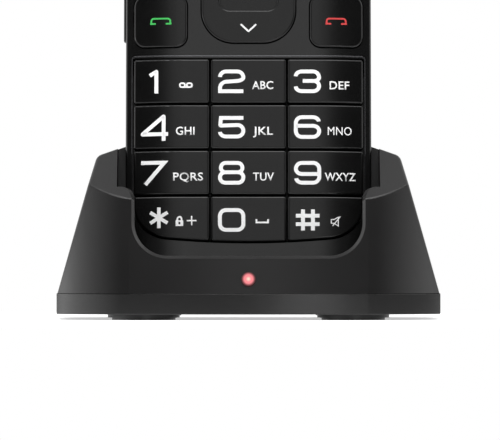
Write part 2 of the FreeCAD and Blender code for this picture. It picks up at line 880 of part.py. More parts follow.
def front_cover():
    cover = Piece("base_front_cover", stand)
    cover.pad("front", [lower_outline()], dims.parting_depth, dims.front_depth)
    cover.cut("top", crown_cuts(dims.front_depth, dims.crown_flat, dims.crown_radius, half + through),
              -through, lower_length + through)
    cover.round(dims.front_edge, lambda middle, edge: -middle.y > cavity_front.number
                and not stands_in_depth(edge)
                and (abs(middle.x) > half.number - CLOSE or middle.z < dims.bottom_corner.number / 2
                     or middle.z > lower_length.number - CLOSE))
    neck_back = hinge_depth - dims.barrel_radius
    ear_low = lower_length - dims.ear_root
    ear_neck = [corner(-neck_back, ear_low), corner(-neck_back, hinge_height),
                corner(-hinge_depth, hinge_height), corner(-hinge_depth, hinge_height - dims.ear_chin),
                corner(-cavity_front, ear_low)]
    knuckle = (-hinge_depth, hinge_height, dims.barrel_radius)
    for low, high in ((-half, -knuckle_inner), (knuckle_inner, half)):
        cover.pad("side", [ear_neck], low, high)
        cover.pad("side", [knuckle], low, high)
    cover.cut("front", [lower_outline(dims.wall)], dims.parting_depth, cavity_front)
    cover.pad("front", [(x, z, dims.boss_radius) for x, z in screw_places()],
              dims.parting_depth, cavity_front + dims.merge)
    cover.cut("front", [(x, z, dims.screw_radius + dims.screw_gap) for x, z in screw_places()],
              dims.parting_depth, dims.parting_depth + dims.screw_bite + dims.overcut)
    cover.cut("front", [keypad_window()], cavity_front - dims.overcut, dims.front_depth + through)
    reach = (half - dims.wall).number
    low_corner = keypad_edge(window_half).number
    cover.round(dims.outer_key_corner + (dims.hole_gap + dims.key_gap) / 2,
                lambda middle, edge: stands_in_depth(edge)
                and abs(abs(middle.x) - window_half.number) < CLOSE
                and abs(middle.z - low_corner) < NEARBY and abs(middle.x) < reach)
    call = side_key(call_key_bottom, call_key_top, dims.hole_gap)
    soft = side_key(soft_key_bottom, soft_key_top, dims.hole_gap)
    holes = [call, turned_over(call), soft, turned_over(soft), rocker_outline(dims.hole_gap)]
    cover.cut("front", holes, cavity_front - dims.overcut, dims.front_depth + through)
    cover.cut("side", [volume_outline(dims.hole_gap)], -half - through, -half + dims.wall + dims.overcut)
    bore = (-hinge_depth, hinge_height, dims.pin_radius + dims.pin_gap)
    pin_reach = half - dims.pin_end
    for low, high in ((-pin_reach, -knuckle_inner + through), (knuckle_inner - through, pin_reach)):
        cover.cut("side", [bore], low, high)
    mouth = (dims.microphone_across, -dims.board_depth + dims.microphone_mouth, dims.microphone_mouth)
    cover.cut("top", contact_windows() + [port_window(), mouth], -through, dims.wall + dims.overcut)
    return cover.done()


def rear_cover():
    cover = Piece("base_rear_cover", stand)
    cover.pad("front", [lower_outline()], 0, dims.parting_depth)
    cover.round(dims.back_edge, lambda middle, edge: abs(middle.y) < CLOSE)
    cover.cut("front", [lower_outline(dims.wall)], dims.wall, dims.parting_depth)
    bay_half = dims.bay_width / 2
    rim = dims.bay_rim
    cover.pad("front", [rectangle(-bay_half - rim, bay_half + rim, dims.bay_bottom - rim,
                                  bay_top + rim, rim)],
              dims.wall / 2, dims.bay_floor + dims.bay_skin)
    cover.pad("front", [(x, z, dims.rear_boss_radius) for x, z in screw_places()],
              dims.wall / 2, dims.parting_depth)
    cover.cut("front", [rectangle(-bay_half, bay_half, dims.bay_bottom, bay_top, rim / 2)],
              -through, dims.bay_floor)
    ledge = dims.cover_margin + dims.cover_gap
    cover.cut("front", [rectangle(-bay_half - ledge, bay_half + ledge, dims.bay_bottom - ledge,
                                  bay_top + ledge, dims.cover_corner)],
              -through, dims.cover_thickness)
    cover.cut("front", [(x, z, dims.screw_head_radius + dims.screw_gap) for x, z in screw_places()],
              -through, dims.screw_sink + dims.screw_head_height)
    cover.cut("front", [(x, z, dims.screw_radius + dims.screw_gap) for x, z in screw_places()],
              0, dims.parting_depth + through)
    slots = []
    for number in range(int(dims.grille_slots.number)):
        middle = dims.speaker_across + (number - (dims.grille_slots - 1) / 2) * dims.grille_pitch
        slots.append(rectangle(middle - dims.grille_slot_width / 2, middle + dims.grille_slot_width / 2,
                               dims.speaker_up - dims.grille_slot_length / 2,
                               dims.speaker_up + dims.grille_slot_length / 2,
                               dims.grille_slot_width / 2 * dims.slot_roundness))
    cover.cut("front", slots, -through, dims.wall + dims.overcut)
    cover.cut("top", contact_windows() + [port_window()], -through, dims.wall + dims.overcut)
    return cover.done()


def battery_cover():
    cover = Piece("battery_cover", stand)
    bay_half = dims.bay_width / 2
    edge = dims.cover_margin
    cover.pad("front", [rectangle(-bay_half - edge, bay_half + edge, dims.bay_bottom - edge,
                                  bay_top + edge, dims.cover_corner - dims.cover_gap)],
              0, dims.cover_thickness)
    low = dims.bay_bottom + dims.grip_start
    grip = rectangle(-dims.grip_half, dims.grip_half, low, low + dims.grip_height, dims.grip_corner)
    cover.cut("front", [grip], -through, dims.grip_depth)
    return cover.done()


def battery():
    pack = Piece("battery", stand)
    bay_half = dims.bay_width / 2
    gap = dims.battery_gap
    low = dims.cover_thickness + gap / 2
    pack.pad("front", [rectangle(-bay_half + gap, bay_half - gap, dims.bay_bottom + gap,
                                 bay_top - gap, dims.battery_edge)], low,
             low + dims.battery_thickness)
    pack.round(dims.battery_edge, lambda middle, edge: abs(abs(middle.x) - bay_half.number
                                                           + gap.number) < 0.01
               and not stands_in_depth(edge))
    return pack.done()


def base_screws():
    screws = []
    for number, (x, z) in enumerate(screw_places(), 1):
        under_head = dims.screw_sink + dims.screw_head_height
        head = rod(f"base_screw_head_{number}", "depth", (x, z), dims.screw_sink, under_head,
                   dims.screw_head_radius)
        shank = rod(f"base_screw_shank_{number}", "depth", (x, z), under_head,
                    dims.parting_depth + dims.screw_bite, dims.screw_radius)
        screws.append(join(f"base_screw_{number}", head, shank))
    return finish(group("base_screw_set", screws), "base_screws", stand)


# Lower half: boards, keypad and fittings
def main_board():
    board = Piece("main_board", stand)
    board.pad("front", [rectangle(-layer_half, layer_half, dims.board_bottom, (lower_length - dims.board_head),
                                  dims.layer_corner)], dims.board_depth, board_face)
    board.cut("front", [(x, z, dims.boss_radius + dims.boss_gap) for x, z in screw_places()],
              dims.board_depth, board_face)
    return board.done()


def key_centres():
    """Middle of every key, number keys first and then the function keys."""
    column = dims.keypad_width / 3
    places = [(across * column, dims.keypad_bottom + (row + 0.5) * dims.key_pitch)
              for row in range(4) for across in (-1, 0, 1)]
    side = (dims.side_key_inner + side_key_outer) / 2
    for low, high in ((call_key_bottom, call_key_top), (soft_key_bottom, soft_key_top)):
        places += [(-side, (low + high) / 2), (side, (low + high) / 2)]
    rocker_step = (rocker_top - rocker_bottom) / 3
    return places + [(size(0), rocker_middle - rocker_step), (size(0), rocker_middle + rocker_step)]


def layer_outline():
    return rectangle(-layer_half, layer_half, dims.mat_bottom, soft_key_top + dims.mat_margin,
                     dims.layer_corner)


def dome_sheet():
    domes = Piece("dome_sheet", stand)
    domes.pad("front", [layer_outline()], board_face, dome_face)
    return domes.done()


def keypad_mat():
    mat = Piece("keypad_mat", stand)
    mat.pad("front", [layer_outline()], dome_face, mat_face)
    mat.pad("front", [(x, z, dims.mat_nub_radius) for x, z in key_centres()], dome_face,
            mat_face + dims.mat_nub_height)
    return mat.done()


NUMBER_KEYS = [["key_star", "key_0", "key_hash"], ["key_7", "key_8", "key_9"],
               ["key_4", "key_5", "key_6"], ["key_1", "key_2", "key_3"]]


def crowned_key(label, outline, across):
    """A key whose face follows the crown of the front, with its rim eased."""
    key = Piece(label, stand)
    key.pad("front", [outline], key_back, key_face)
    if across:
        key.cut("top", crown_cuts(key_face, dims.crown_flat, dims.crown_radius, half), -through,
                lower_length)
    return key


def number_key(label, row, across):
    column = dims.keypad_width / 3
    key = crowned_key(label, key_corners((across - 0.5) * column, (across + 0.5) * column, row), across)
    if row == 0:
        low_corner = keypad_edge(side_key_outer).number + dims.outer_key_corner.number

        def outer(middle):
            return middle.x > side_key_outer.number - 0.01 and middle.z < low_corner
        if across:
            key.round(dims.outer_key_corner, lambda middle, edge: stands_in_depth(edge) and outer(middle))
        key.round(dims.key_corner, lambda middle, edge: stands_in_depth(edge)
                  and edge.Curve.TypeId == "Part::GeomLine" and not outer(middle)
                  and abs(middle.x) < side_key_outer.number + CLOSE)
    key.round(dims.key_edge, on_key_rim)
    return key.done()


def on_key_rim(middle, edge):
    """True for the outline of a key's face, but not for the line where its crown begins."""
    crown_line = abs(middle.x - dims.crown_flat.number) < 1e-4 and edge.BoundBox.XLength < 1e-4
    return -middle.y > key_back.number + 0.2 and not stands_in_depth(edge) and not crown_line


def side_function_key(label, outline):
    key = crowned_key(label, outline, 1)
    key.round(dims.key_edge, on_key_rim)
    return key.done()


def arrow_rocker():
    rocker = Piece("arrow_rocker", stand)
    rocker.pad("front", [rocker_outline()], key_back, key_face)
    dish = dims.rocker_dish_half
    rocker.cut("front", [rectangle(-dish, dish, rocker_bottom + dims.rocker_dish,
                                   rocker_top - dims.rocker_dish, dims.rocker_dish_corner)],
               key_face - dims.rocker_dish_depth, key_face + through)
    rocker.round(dims.key_edge, lambda middle, edge: -middle.y > key_face.number - CLOSE)
    rocker.pad("side", [(-key_back - dims.pivot_sink, rocker_middle, dims.pivot_radius)],
               -dims.pivot_half, dims.pivot_half)
    return rocker.done()


def volume_rocker():
    rocker = Piece("volume_rocker", stand)
    rocker.pad("side", [volume_outline()], -half - dims.volume_rise, -dims.volume_inner)
    rocker.round(dims.key_edge, lambda middle, edge: middle.x < -(half + dims.volume_rise).number + CLOSE)
    rocker.pad("front", [(-dims.volume_inner - dims.pivot_sink, (volume_bottom + volume_top) / 2,
                          dims.pivot_radius)], dims.volume_low_depth, dims.volume_high_depth)
    return rocker.done()


def usb_socket():
    socket = Piece("usb_socket", stand)
    left = dims.port_across - dims.port_width / 2
    right = dims.port_across + dims.port_width / 2
    near = -port_depth - dims.port_height / 2
    far = -port_depth + dims.port_height / 2
    base = dims.port_gap
    end = base + dims.port_length
    socket.pad("top", [rectangle(left, right, near, far, dims.port_corner)], base, end)
    mouth_wide = dims.port_mouth_width / 2
    mouth_deep = dims.port_mouth_height / 2
    socket.cut("top", [rectangle(dims.port_across - mouth_wide, dims.port_across + mouth_wide,
                                 -port_depth - mouth_deep, -port_depth + mouth_deep,
                                 dims.port_corner - dims.port_width / 2 + mouth_wide)],
               -through, end - dims.port_end_wall)
    tongue = dims.port_tongue_half
    thin = dims.port_tongue_thickness / 2
    socket.pad("top", [rectangle(dims.port_across - tongue, dims.port_across + tongue,
                                 -port_depth - thin, -port_depth + thin)],
               base + dims.port_tongue_sink, end - dims.port_end_wall + dims.merge)
    return socket.done()


def charging_contacts():
    pads = []
    deep = dims.contact_height / 2
    for side, hand in (("left", -1), ("right", 1)):
        middle = hand * dims.contact_spread
        pads.append(block(f"contact_pad_{side}", (middle - dims.contact_width / 2,
                                                  middle + dims.contact_width / 2),
                          (-contact_depth - deep, -contact_depth + deep),
                          (dims.contact_sink, dims.contact_top)))
    return finish(group("contact_pads", pads), "charging_contacts", stand)


def board_fittings():
    """Speaker, vibration motor, SIM holder and microphone."""
    speaker = Piece("loudspeaker", stand)
    speaker.pad("front", [(dims.speaker_across, dims.speaker_up, dims.speaker_radius)], dims.wall,
                dims.wall + dims.speaker_thickness)
    inside = (dims.wall + dims.speaker_thickness).number
    speaker.round(dims.speaker_edge, lambda middle, edge: -middle.y > inside - CLOSE)
    speaker.done()
    motor = Piece("vibration_motor", stand)
    motor.pad("front", [(dims.motor_across, dims.motor_up, dims.motor_radius)], dims.wall,
              dims.wall + dims.motor_thickness)
    motor.done()
    sim = Piece("sim_holder", stand)
    sim.pad("front", [rectangle(-dims.sim_width / 2, dims.sim_width / 2, dims.sim_bottom,
                                dims.sim_bottom + dims.sim_length, dims.fitting_corner)],
            dims.board_depth - dims.sim_thickness, dims.board_depth)
    sim.done()
    microphone = Piece("microphone", stand)
    half_wide = dims.microphone_width / 2
    low = dims.board_bottom + dims.microphone_inset
    microphone.pad("front", [rectangle(dims.microphone_across - half_wide,
                                       dims.microphone_across + half_wide, low,
                                       low + dims.microphone_length, dims.fitting_corner)],
                   dims.board_depth - dims.microphone_thickness, dims.board_depth)
    microphone.done()


def hinge_pin():
    reach = half - dims.pin_end - dims.pin_gap
    return finish(rod("hinge_shaft", "x", (-hinge_depth, hinge_height), -reach, reach,
                      dims.pin_radius), "hinge_pin", stand)


# Lid
lid_half = dims.lid_width / 2
lid_face = dims.hinge_gap / 2
lid_back = lid_face + dims.lid_thickness
screen_half = dims.screen_width / 2
small_half = dims.small_screen_width / 2
lid_shallow = dims.lid_parting + dims.lid_step
screen_top = lid_length - dims.screen_head
earpiece_up = lid_length - dims.earpiece_head
camera_up = lid_length - dims.camera_head


def lid_outline(inset=0):
    """Front view of the lid. Its free end is narrower, to swing in between the dock's lips."""
    side = lid_half - inset
    tip = dims.lip_half - dims.lip_gap - inset
    return mirrored([corner(side, dims.lid_start + inset, dims.top_corner),
                     corner(side, (lid_length - dims.lid_tongue), dims.lid_shoulder_bend),
                     corner(tip, (lid_length - dims.lid_tongue) + dims.lid_taper, dims.lid_shoulder_bend),
                     corner(tip, lid_length - inset, dims.lid_tip_corner - inset)])


def lid_screw_places():
    return [(side * dims.lid_screw_across, dims.lid_screw_up) for side in (-1, 1)]


def lid_inner_cover():
    cover = Piece("lid_inner_cover", open_up)
    cover.pad("front", [lid_outline()], -dims.lid_parting, -lid_face)
    cover.round(dims.front_edge, lambda middle, edge: abs(middle.y - lid_face.number) < CLOSE)
    cover.cut("front", [lid_outline(dims.wall)], -dims.lid_parting, -lid_face - dims.wall)
    cover.pad("front", [(x, z, dims.lid_boss_radius) for x, z in lid_screw_places()],
              -dims.lid_parting, -lid_face - dims.wall / 2)
    neck = [corner(lid_face, 0), corner(dims.barrel_radius, 0),
            corner(dims.barrel_radius, dims.lid_start + dims.wall),
            corner(lid_face, dims.lid_start + dims.wall)]
    reach = dims.barrel_half
    cover.pad("side", [neck], -reach, reach)
    cover.pad("side", [(0, 0, dims.barrel_radius)], -reach, reach)
    cover.cut("side", [(0, 0, dims.pin_radius + dims.pin_gap)], -reach, reach)
    cover.cut("side", [(0, 0, dims.cartridge_radius + dims.pin_gap)], -reach,
              -reach + dims.cartridge_length + dims.cartridge_gap)
    frame = dims.screen_margin + dims.window_gap
    seat = dims.window_sink + dims.window_thickness
    cover.cut("front", [rectangle(-screen_half - frame, screen_half + frame, dims.screen_bottom - frame,
                                  screen_top + frame, dims.window_corner + dims.window_gap)],
              -lid_face - seat, -lid_face + through)
    cover.cut("front", [rectangle(-screen_half, screen_half, dims.screen_bottom, screen_top)],
              -lid_face - dims.wall - dims.overcut, -lid_face)
    slot = dims.earpiece_width / 2
    slot_half_height = dims.earpiece_height / 2
    cover.cut("front", [rectangle(-slot, slot, earpiece_up - slot_half_height,
                                  earpiece_up + slot_half_height, slot_half_height * dims.slot_roundness)],
              -lid_face - dims.wall - dims.overcut, -lid_face + through)
    cover.cut("front", [(side * dims.bumper_across, (lid_length - dims.bumper_head), dims.bumper_radius)
                        for side in (-1, 1)], -lid_face - dims.bumper_seat, -lid_face + through)
    cover.cut("front", [(x, z, dims.screw_head_radius + dims.screw_gap) for x, z in lid_screw_places()],
              -lid_face - dims.screw_sink - dims.screw_head_height, -lid_face + through)
    cover.cut("front", [(x, z, dims.screw_radius + dims.screw_gap) for x, z in lid_screw_places()],
              -dims.lid_parting, -lid_face)
    return cover.done()


def lid_outer_cover():
    cover = Piece("lid_outer_cover", open_up)
    cover.pad("front", [lid_outline()], -lid_back, -dims.lid_parting)
    cover.cut("top", back_crown_cuts(lid_back, dims.lid_crown_flat, dims.lid_crown_radius,
                                     lid_half + through), -through, lid_length + through)
    rim = dims.lid_parting.number + CLOSE
    flat = dims.lid_crown_flat.number
    cover.round(dims.lid_edge, lambda middle, edge: middle.y > rim and not stands_in_depth(edge)
                and not (abs(abs(middle.x) - flat) < CLOSE and edge.BoundBox.XLength < CLOSE))
    cover.cut("front", [lid_outline(dims.wall)], -lid_shallow, -dims.lid_parting)
    deep_half = small_half + dims.small_screen_margin + dims.panel_margin
    inset = dims.lid_hollow_inset
    cover.cut("front", [rectangle(-deep_half, deep_half, dims.lid_start + inset, lid_length - inset,
                                  dims.lid_hollow_corner)],
              -lid_back + dims.wall, -dims.lid_parting)
    frame = dims.small_screen_margin + dims.window_gap
    seat = dims.window_sink + dims.window_thickness
    cover.cut("front", [rectangle(-small_half - frame, small_half + frame,
                                  dims.small_screen_bottom - frame, dims.small_screen_top + frame,
                                  dims.window_corner + dims.window_gap),
                        (0, camera_up, dims.camera_window_radius + dims.window_gap)],
              -lid_back - through, -lid_back + seat)
    cover.cut("front", [rectangle(-small_half, small_half, dims.small_screen_bottom,
                                  dims.small_screen_top),
                        (0, camera_up, dims.camera_radius + dims.panel_gap)],
              -lid_back, -lid_back + dims.wall + dims.overcut)
    cover.cut("front", [(x, z, dims.screw_radius + dims.screw_gap) for x, z in lid_screw_places()],
              -dims.lid_parting - dims.screw_bite, -dims.lid_parting)
    return cover.done()


def lid_windows_and_panels():
    seat = lid_face + dims.window_sink
    margin = dims.screen_margin
    window = Piece("main_display_window", open_up)
    window.pad("front", [rectangle(-screen_half - margin, screen_half + margin,
                                   dims.screen_bottom - margin, screen_top + margin,
                                   dims.window_corner)], -seat - dims.window_thickness, -seat)
    window.done()
    edge = dims.panel_margin
    behind = lid_face + dims.wall + dims.panel_gap
    panel = Piece("main_display_panel", open_up)
    panel.pad("front", [rectangle(-screen_half - edge, screen_half + edge, dims.screen_bottom - edge,
                                  screen_top + edge, dims.panel_corner)], -behind - dims.panel_thickness, -behind)
    panel.done()
    margin = dims.small_screen_margin
    seat = lid_back - dims.window_sink
    window = Piece("outer_display_window", open_up)
    window.pad("front", [rectangle(-small_half - margin, small_half + margin,
                                   dims.small_screen_bottom - margin, dims.small_screen_top + margin,
                                   dims.window_corner)], -seat, -seat + dims.window_thickness)
    window.done()
    inside = lid_back - dims.wall - dims.panel_gap
    panel = Piece("outer_display_panel", open_up)
    panel.pad("front", [rectangle(-small_half - edge, small_half + edge, dims.small_screen_bottom - edge,
                                  dims.small_screen_top + edge, dims.panel_corner)],
              -inside, -inside + dims.small_panel_thickness)
    panel.done()
    camera = Piece("camera_window", open_up)
    camera.pad("front", [(0, camera_up, dims.camera_window_radius)], -seat,
               -seat + dims.camera_window_thickness)
    camera.done()
    board_back = behind + dims.panel_thickness + dims.lid_board_gap + dims.lid_board_thickness
    module = Piece("camera_module", open_up)
    module.pad("front", [(0, camera_up, dims.camera_radius)],
               -seat + dims.camera_window_thickness + dims.panel_gap, -board_back)
    module.cut("front", [(0, camera_up, dims.camera_radius / 2)], -seat, -seat + dims.camera_lens_sink)
    module.done()
    board = Piece("lid_board", open_up)
    board.pad("front", [rectangle(-screen_half - edge, screen_half + edge, dims.lid_board_bottom,
                                  lid_length - dims.lid_board_head, dims.lid_board_corner)], -board_back,
              -board_back + dims.lid_board_thickness)
    board.done()


def lid_fittings():
    earpiece = Piece("earpiece", open_up)
    wide = dims.earpiece_body_width / 2
    high = dims.earpiece_body_height / 2
    behind = lid_face + dims.wall
    earpiece.pad("front", [rectangle(-wide, wide, earpiece_up - high, earpiece_up + high,
                                     high * dims.slot_roundness)], -behind - dims.earpiece_thickness, -behind)
    earpiece.done()
    bumpers = []
    screws = []
    for side, hand in (("left", -1), ("right", 1)):
        bumpers.append(rod(f"bumper_{side}", "depth", (hand * dims.bumper_across, (lid_length - dims.bumper_head)),
                           -lid_face - dims.bumper_seat, -lid_face + dims.bumper_height,
                           dims.bumper_radius))
        place = (hand * dims.lid_screw_across, dims.lid_screw_up)
        under_head = -lid_face - dims.screw_sink - dims.screw_head_height
        head = rod(f"lid_screw_head_{side}", "depth", place, under_head, -lid_face - dims.screw_sink,
                   dims.screw_head_radius)
        shank = rod(f"lid_screw_shank_{side}", "depth", place, -dims.lid_parting - dims.screw_bite,
                    under_head, dims.screw_radius)
        screws.append(join(f"lid_screw_{side}", head, shank))
    finish(group("bumper_pair", bumpers), "lid_bumpers", open_up)
    finish(group("lid_screw_pair", screws), "lid_screws", open_up)
    start = -dims.barrel_half
    drum = rod("cartridge_drum", "x", (0, 0), start, start + dims.cartridge_length,
               dims.cartridge_radius)
    bore = rod("cartridge_bore", "x", (0, 0), start - through, start + dims.cartridge_length + through,
               dims.pin_radius + dims.pin_gap)
    finish(carve("cartridge_sleeve", drum, bore), "hinge_cartridge", open_up)


# Dock
lean = dims.lean_angle
front_plane_depth = dims.slot_depth + dims.lip_wall


def dock_front(height):
    """Y of the dock's leaning front at this height."""
    return (dims.phone_back - front_plane_depth / cosine(lean)
            + (height - dims.phone_floor) * tangent(lean))


def outline_solid(name, plane, outline, low, high, direction=None):
    """A free sketch on one of the three planes, extruded from low to high along its normal."""
    sketch = document.addObject("Sketcher::SketchObject", f"{name}_sketch")
    turns = {"front": Rotation(Vector(1, 0, 0), 90), "side": Rotation(Vector(1, 1, 1), 120),
             "top": Rotation()}
    sketch.Placement = Placement(Vector(), turns[plane])
    axis, sign = {"front": ("y", -1), "side": ("x", 1), "top": ("z", 1)}[plane]
    bind(sketch, f"Placement.Base.{axis}", sign * size(low))
    draw(sketch, outline)
    solid = document.addObject("Part::Extrusion", name)
    solid.Base = sketch
    solid.Solid = True
    solid.DirMode = "Custom"
    normal = {"front": Vector(0, -1, 0), "side": Vector(1, 0, 0), "top": Vector(0, 0, 1)}[plane]
    solid.Dir = normal
    length = size(high) - low
    if direction:
        bind(solid, "Dir.y", tangent(direction))
        length = length / cosine(direction)
    bind(solid, "LengthFwd", length)
    return solid


dock_back = -dock_front(dims.seam_height)
dock_board_front = dims.dock_board_inset - dock_back
dock_board_rear = dock_back - dims.dock_board_rear_inset
socket_end = dock_back - dims.socket_inset
bow_half = dims.plate_half - dims.wing_reach
dock_foot_half = dims.plate_half - dims.foot_inset
dock_screw_across = dims.plate_half - dims.dock_screw_inset
ballast_outer = dock_screw_across - dims.dock_boss_radius - dims.ballast_gap
wing_start = bow_half / dims.bow_radius                 # sine of the angle where the wings begin
wing_across = (dims.bow_radius - dims.wing_radius) * wing_start
wing_behind = dims.bow_radius - (dims.bow_radius - dims.wing_radius) * root(1 - wing_start * wing_start)


def dock_plan(front, inset=0, side=None):
    """Top view of the dock: bowed front, rounder wings that touch it smoothly, straight back."""
    reach = (side if side else dims.plate_half + dims.plan_spare) - inset
    bow = dims.bow_radius - inset
    wing = dims.wing_radius - inset
    rear = dock_back - inset
    share = bow * wing_start
    meet = front + dims.bow_radius - root(bow * bow - share * share)
    aside = reach - wing_across
    turn = front + wing_behind - root(wing * wing - aside * aside)
    return [corner(-share, meet, 0, bow), corner(share, meet, 0, wing),
            corner(reach, turn), corner(reach, rear, dims.rear_corner - inset),
            corner(-reach, rear, dims.rear_corner - inset), corner(-reach, turn, 0, wing)]


def dock_form(name, inset=0):
    """Outer form of the dock shell, or the same form shrunk by a wall."""
    inset = size(inset)
    slope = tangent(dims.slope_angle)
    bottom = dims.seam_height - inset
    top = dims.arm_top - inset
    slant = (dock_foot_half - dims.shoulder_half) / (dims.shoulder_height - dims.seam_height)
    foot = dock_foot_half - inset + slant * inset
    front_view = mirrored([corner(foot, bottom),
                           corner(dims.shoulder_half - inset, dims.shoulder_height - inset,
                                  dims.shoulder_corner),
                           corner(dims.arm_top_half, top)])
    low = outline_solid(f"{name}_front_view", "front", [front_view], -beyond, beyond)
    front = dock_front(dims.slope_start) + inset
    ahead = dims.slope_lead
    side_view = [corner(front - ahead, dims.slope_start - ahead * slope - inset),
                 corner(front + (dims.arm_top - dims.slope_start) / slope, top, dims.slope_corner),
                 corner(dims.rear_top - inset / 2, top, dims.crest_corner),
                 corner(dock_back - inset, bottom), corner(front - ahead, bottom)]
    side = outline_solid(f"{name}_side_view", "side", [side_view], -beyond, beyond)
    plan = outline_solid(f"{name}_plan", "top", [dock_plan(dock_front(0), inset)], 0, beyond, lean)
    return overlap(name, low, side, plan)


def dock_screw_places():
    return [(side * dock_screw_across, y) for side in (-1, 1)
            for y in (dims.dock_screw_front, dims.dock_screw_rear)]


def pin_places():
    return [(hand, hand * dims.contact_spread) for hand in (-1, 1)]


def on_notch_rim(middle, edge):
    """True for an edge of the notch that lies in the bowed front."""
    front = dock_front(size(middle.z)) + fall(dims.bow_radius, size(middle.x))
    return (abs(middle.x) < bow_half.number and middle.z > dims.notch_bottom.number - CLOSE
            and abs(middle.y - front.number) < CLOSE and edge.Curve.TypeId != "Part::GeomLine")


def dock_shell():
    outer = eased("Fillet", "dock_rounded", dock_form("dock_outer"), dims.dock_edge,
                  lambda middle, edge: edge.BoundBox.ZMax > dims.seam_height.number + NEARBY)
    inner = dock_form("dock_inner", dims.dock_wall)
    walled = dims.slot_half + dims.slot_side_wall
    slot_walls = leaned(block("slot_walls", (-walled, walled),
                              (-front_plane_depth - beyond, dims.slot_back + dims.slot_wall),
                              (-dims.slot_floor - dims.slot_wall, beyond)), stand)
    bosses = [rod(f"dock_boss_{number}", "z", place, dims.seam_height - dims.dock_wall,
                  dims.dock_boss_top, dims.dock_boss_radius)
              for number, place in enumerate(dock_screw_places(), 1)]
    hollow = carve("dock_hollow", inner, slot_walls, *bosses)
    upper = block("slot_upper", (-dims.slot_half, dims.slot_half), (-dims.slot_depth, dims.slot_back),
                  (dims.seat_height, beyond))
    seat = block("slot_seat", (-dims.seat_half, dims.seat_half), (-dims.slot_depth, dims.slot_back),
                 (-dims.slot_floor, dims.seat_height + through))
    slot = join("slot_space", upper, seat)
    stand(slot)
    lip = dims.lip_half
    flare = lip + dims.lip_round
    notch_outline = mirrored([
        corner(lip, dims.notch_bottom, dims.notch_corner),
        corner(lip, dims.lip_top - dims.lip_round, 0, -dims.lip_round),
        corner(flare, dims.lip_top), corner(dims.slot_half, dims.lip_top),
        corner(dims.slot_half, beyond)])
    notch = outline_solid("notch", "front", [notch_outline], dims.slot_depth / 2 - dims.phone_back, beyond)
    light_hole = leaned(rod("light_hole", "depth", (0, light_up),
                            front_plane_depth - dims.light_length, front_plane_depth + beyond,
                            dims.light_radius + dims.light_gap), stand)
    socket_hole = block("socket_hole", (-dims.socket_half - dims.socket_gap, dims.socket_half + dims.socket_gap),
                        (socket_end - dims.socket_length, dock_back + through),
                        (0, socket_top + dims.socket_gap))
    pin_holes = []
    for number, (_, across) in enumerate(pin_places(), 1):
        hole = rod(f"pin_hole_{number}", "z", (across, -contact_depth),
                   -dims.slot_floor - dims.slot_wall - through, dims.slot_floor,
                   dims.spring_pin_radius + dims.pin_hole_gap)
        pin_holes.append(leaned(hole, stand))
    pilots = [rod(f"dock_pilot_{number}", "z", place, 0, dims.dock_screw_top + dims.pilot_spare,
                  dims.dock_screw_radius + dims.screw_gap)
              for number, place in enumerate(dock_screw_places(), 1)]
    shell = carve("dock_shell_cut", outer, hollow, slot, notch, light_hole, socket_hole, *pin_holes, *pilots)
    return finish(eased("Chamfer", "dock_notch_bevel", shell, dims.notch_edge, on_notch_rim), "dock_shell")


light_up = (dims.light_height - dims.phone_floor - front_plane_depth * sine(lean)) / cosine(lean)
board_top = dims.dock_board_height + dims.dock_board_thickness
socket_top = board_top + dims.socket_height
floor_top = dims.foot_height + dims.plate_floor


def dock_base_plate():
    plate = Piece("dock_base_plate")
    front = dock_front(dims.seam_height)
    rim = dims.dock_wall
    plate.pad("top", [dock_plan(front, 0, dims.plate_half)], dims.foot_height, dims.seam_height)
    plate.round(dims.plate_edge, lambda middle, edge: abs(middle.z - dims.seam_height.number) < CLOSE
                or abs(middle.z - dims.foot_height.number) < CLOSE)
    plate.cut("top", [dock_plan(front, rim, dims.plate_half)], floor_top, dims.seam_height + through)
    posts = [(x, y, dims.dock_boss_radius) for x, y in dock_screw_places()]
    standoffs = [(side * (dims.dock_board_half - dims.standoff_inset), y, dims.standoff_radius) for side in (-1, 1)
                 for y in (dock_board_front + dims.standoff_front, dock_board_rear - dims.standoff_rear)]
    plate.pad("top", posts, floor_top - dims.merge, dims.seam_height)
    plate.pad("top", standoffs, floor_top - dims.merge, dims.dock_board_height)
    plate.cut("top", [(x, y, dims.dock_screw_radius + dims.screw_gap) for x, y in dock_screw_places()],
              0, dims.seam_height + through)
    plate.cut("top", [(x, y, dims.dock_screw_head + dims.screw_gap) for x, y in dock_screw_places()],
              0, dims.foot_height + dims.dock_screw_head_height)
    reach = dims.socket_half + dims.socket_gap
    plate.cut("top", [rectangle(-reach, reach, dock_board_rear - through, dock_back + through)],
              board_top - dims.overcut, dims.seam_height + through)
    return plate.done()


def rubber_feet():
    feet = []
    for number, (side, end) in enumerate(((-1, -1), (1, -1), (-1, 1), (1, 1)), 1):
        place = (side * dims.foot_across, end * dims.foot_along)
        tread = rod(f"foot_tread_{number}", "z", place, 0, dims.foot_step, dims.foot_tread_radius)
        pad = rod(f"foot_pad_{number}", "z", place, dims.foot_step, dims.foot_height, dims.foot_radius)
        feet.append(join(f"foot_{number}", tread, pad))
    return finish(group("foot_set", feet), "rubber_feet")


def dock_ballast():
    bars = []
    for side, hand in (("left", -1), ("right", 1)):
        span = [hand * dims.ballast_inner, hand * ballast_outer][::hand]
        bars.append(block(f"ballast_{side}", span, (dims.ballast_front, dims.ballast_rear),
                          (floor_top, floor_top + dims.ballast_thickness)))
    return finish(group("ballast_pair", bars), "dock_ballast")


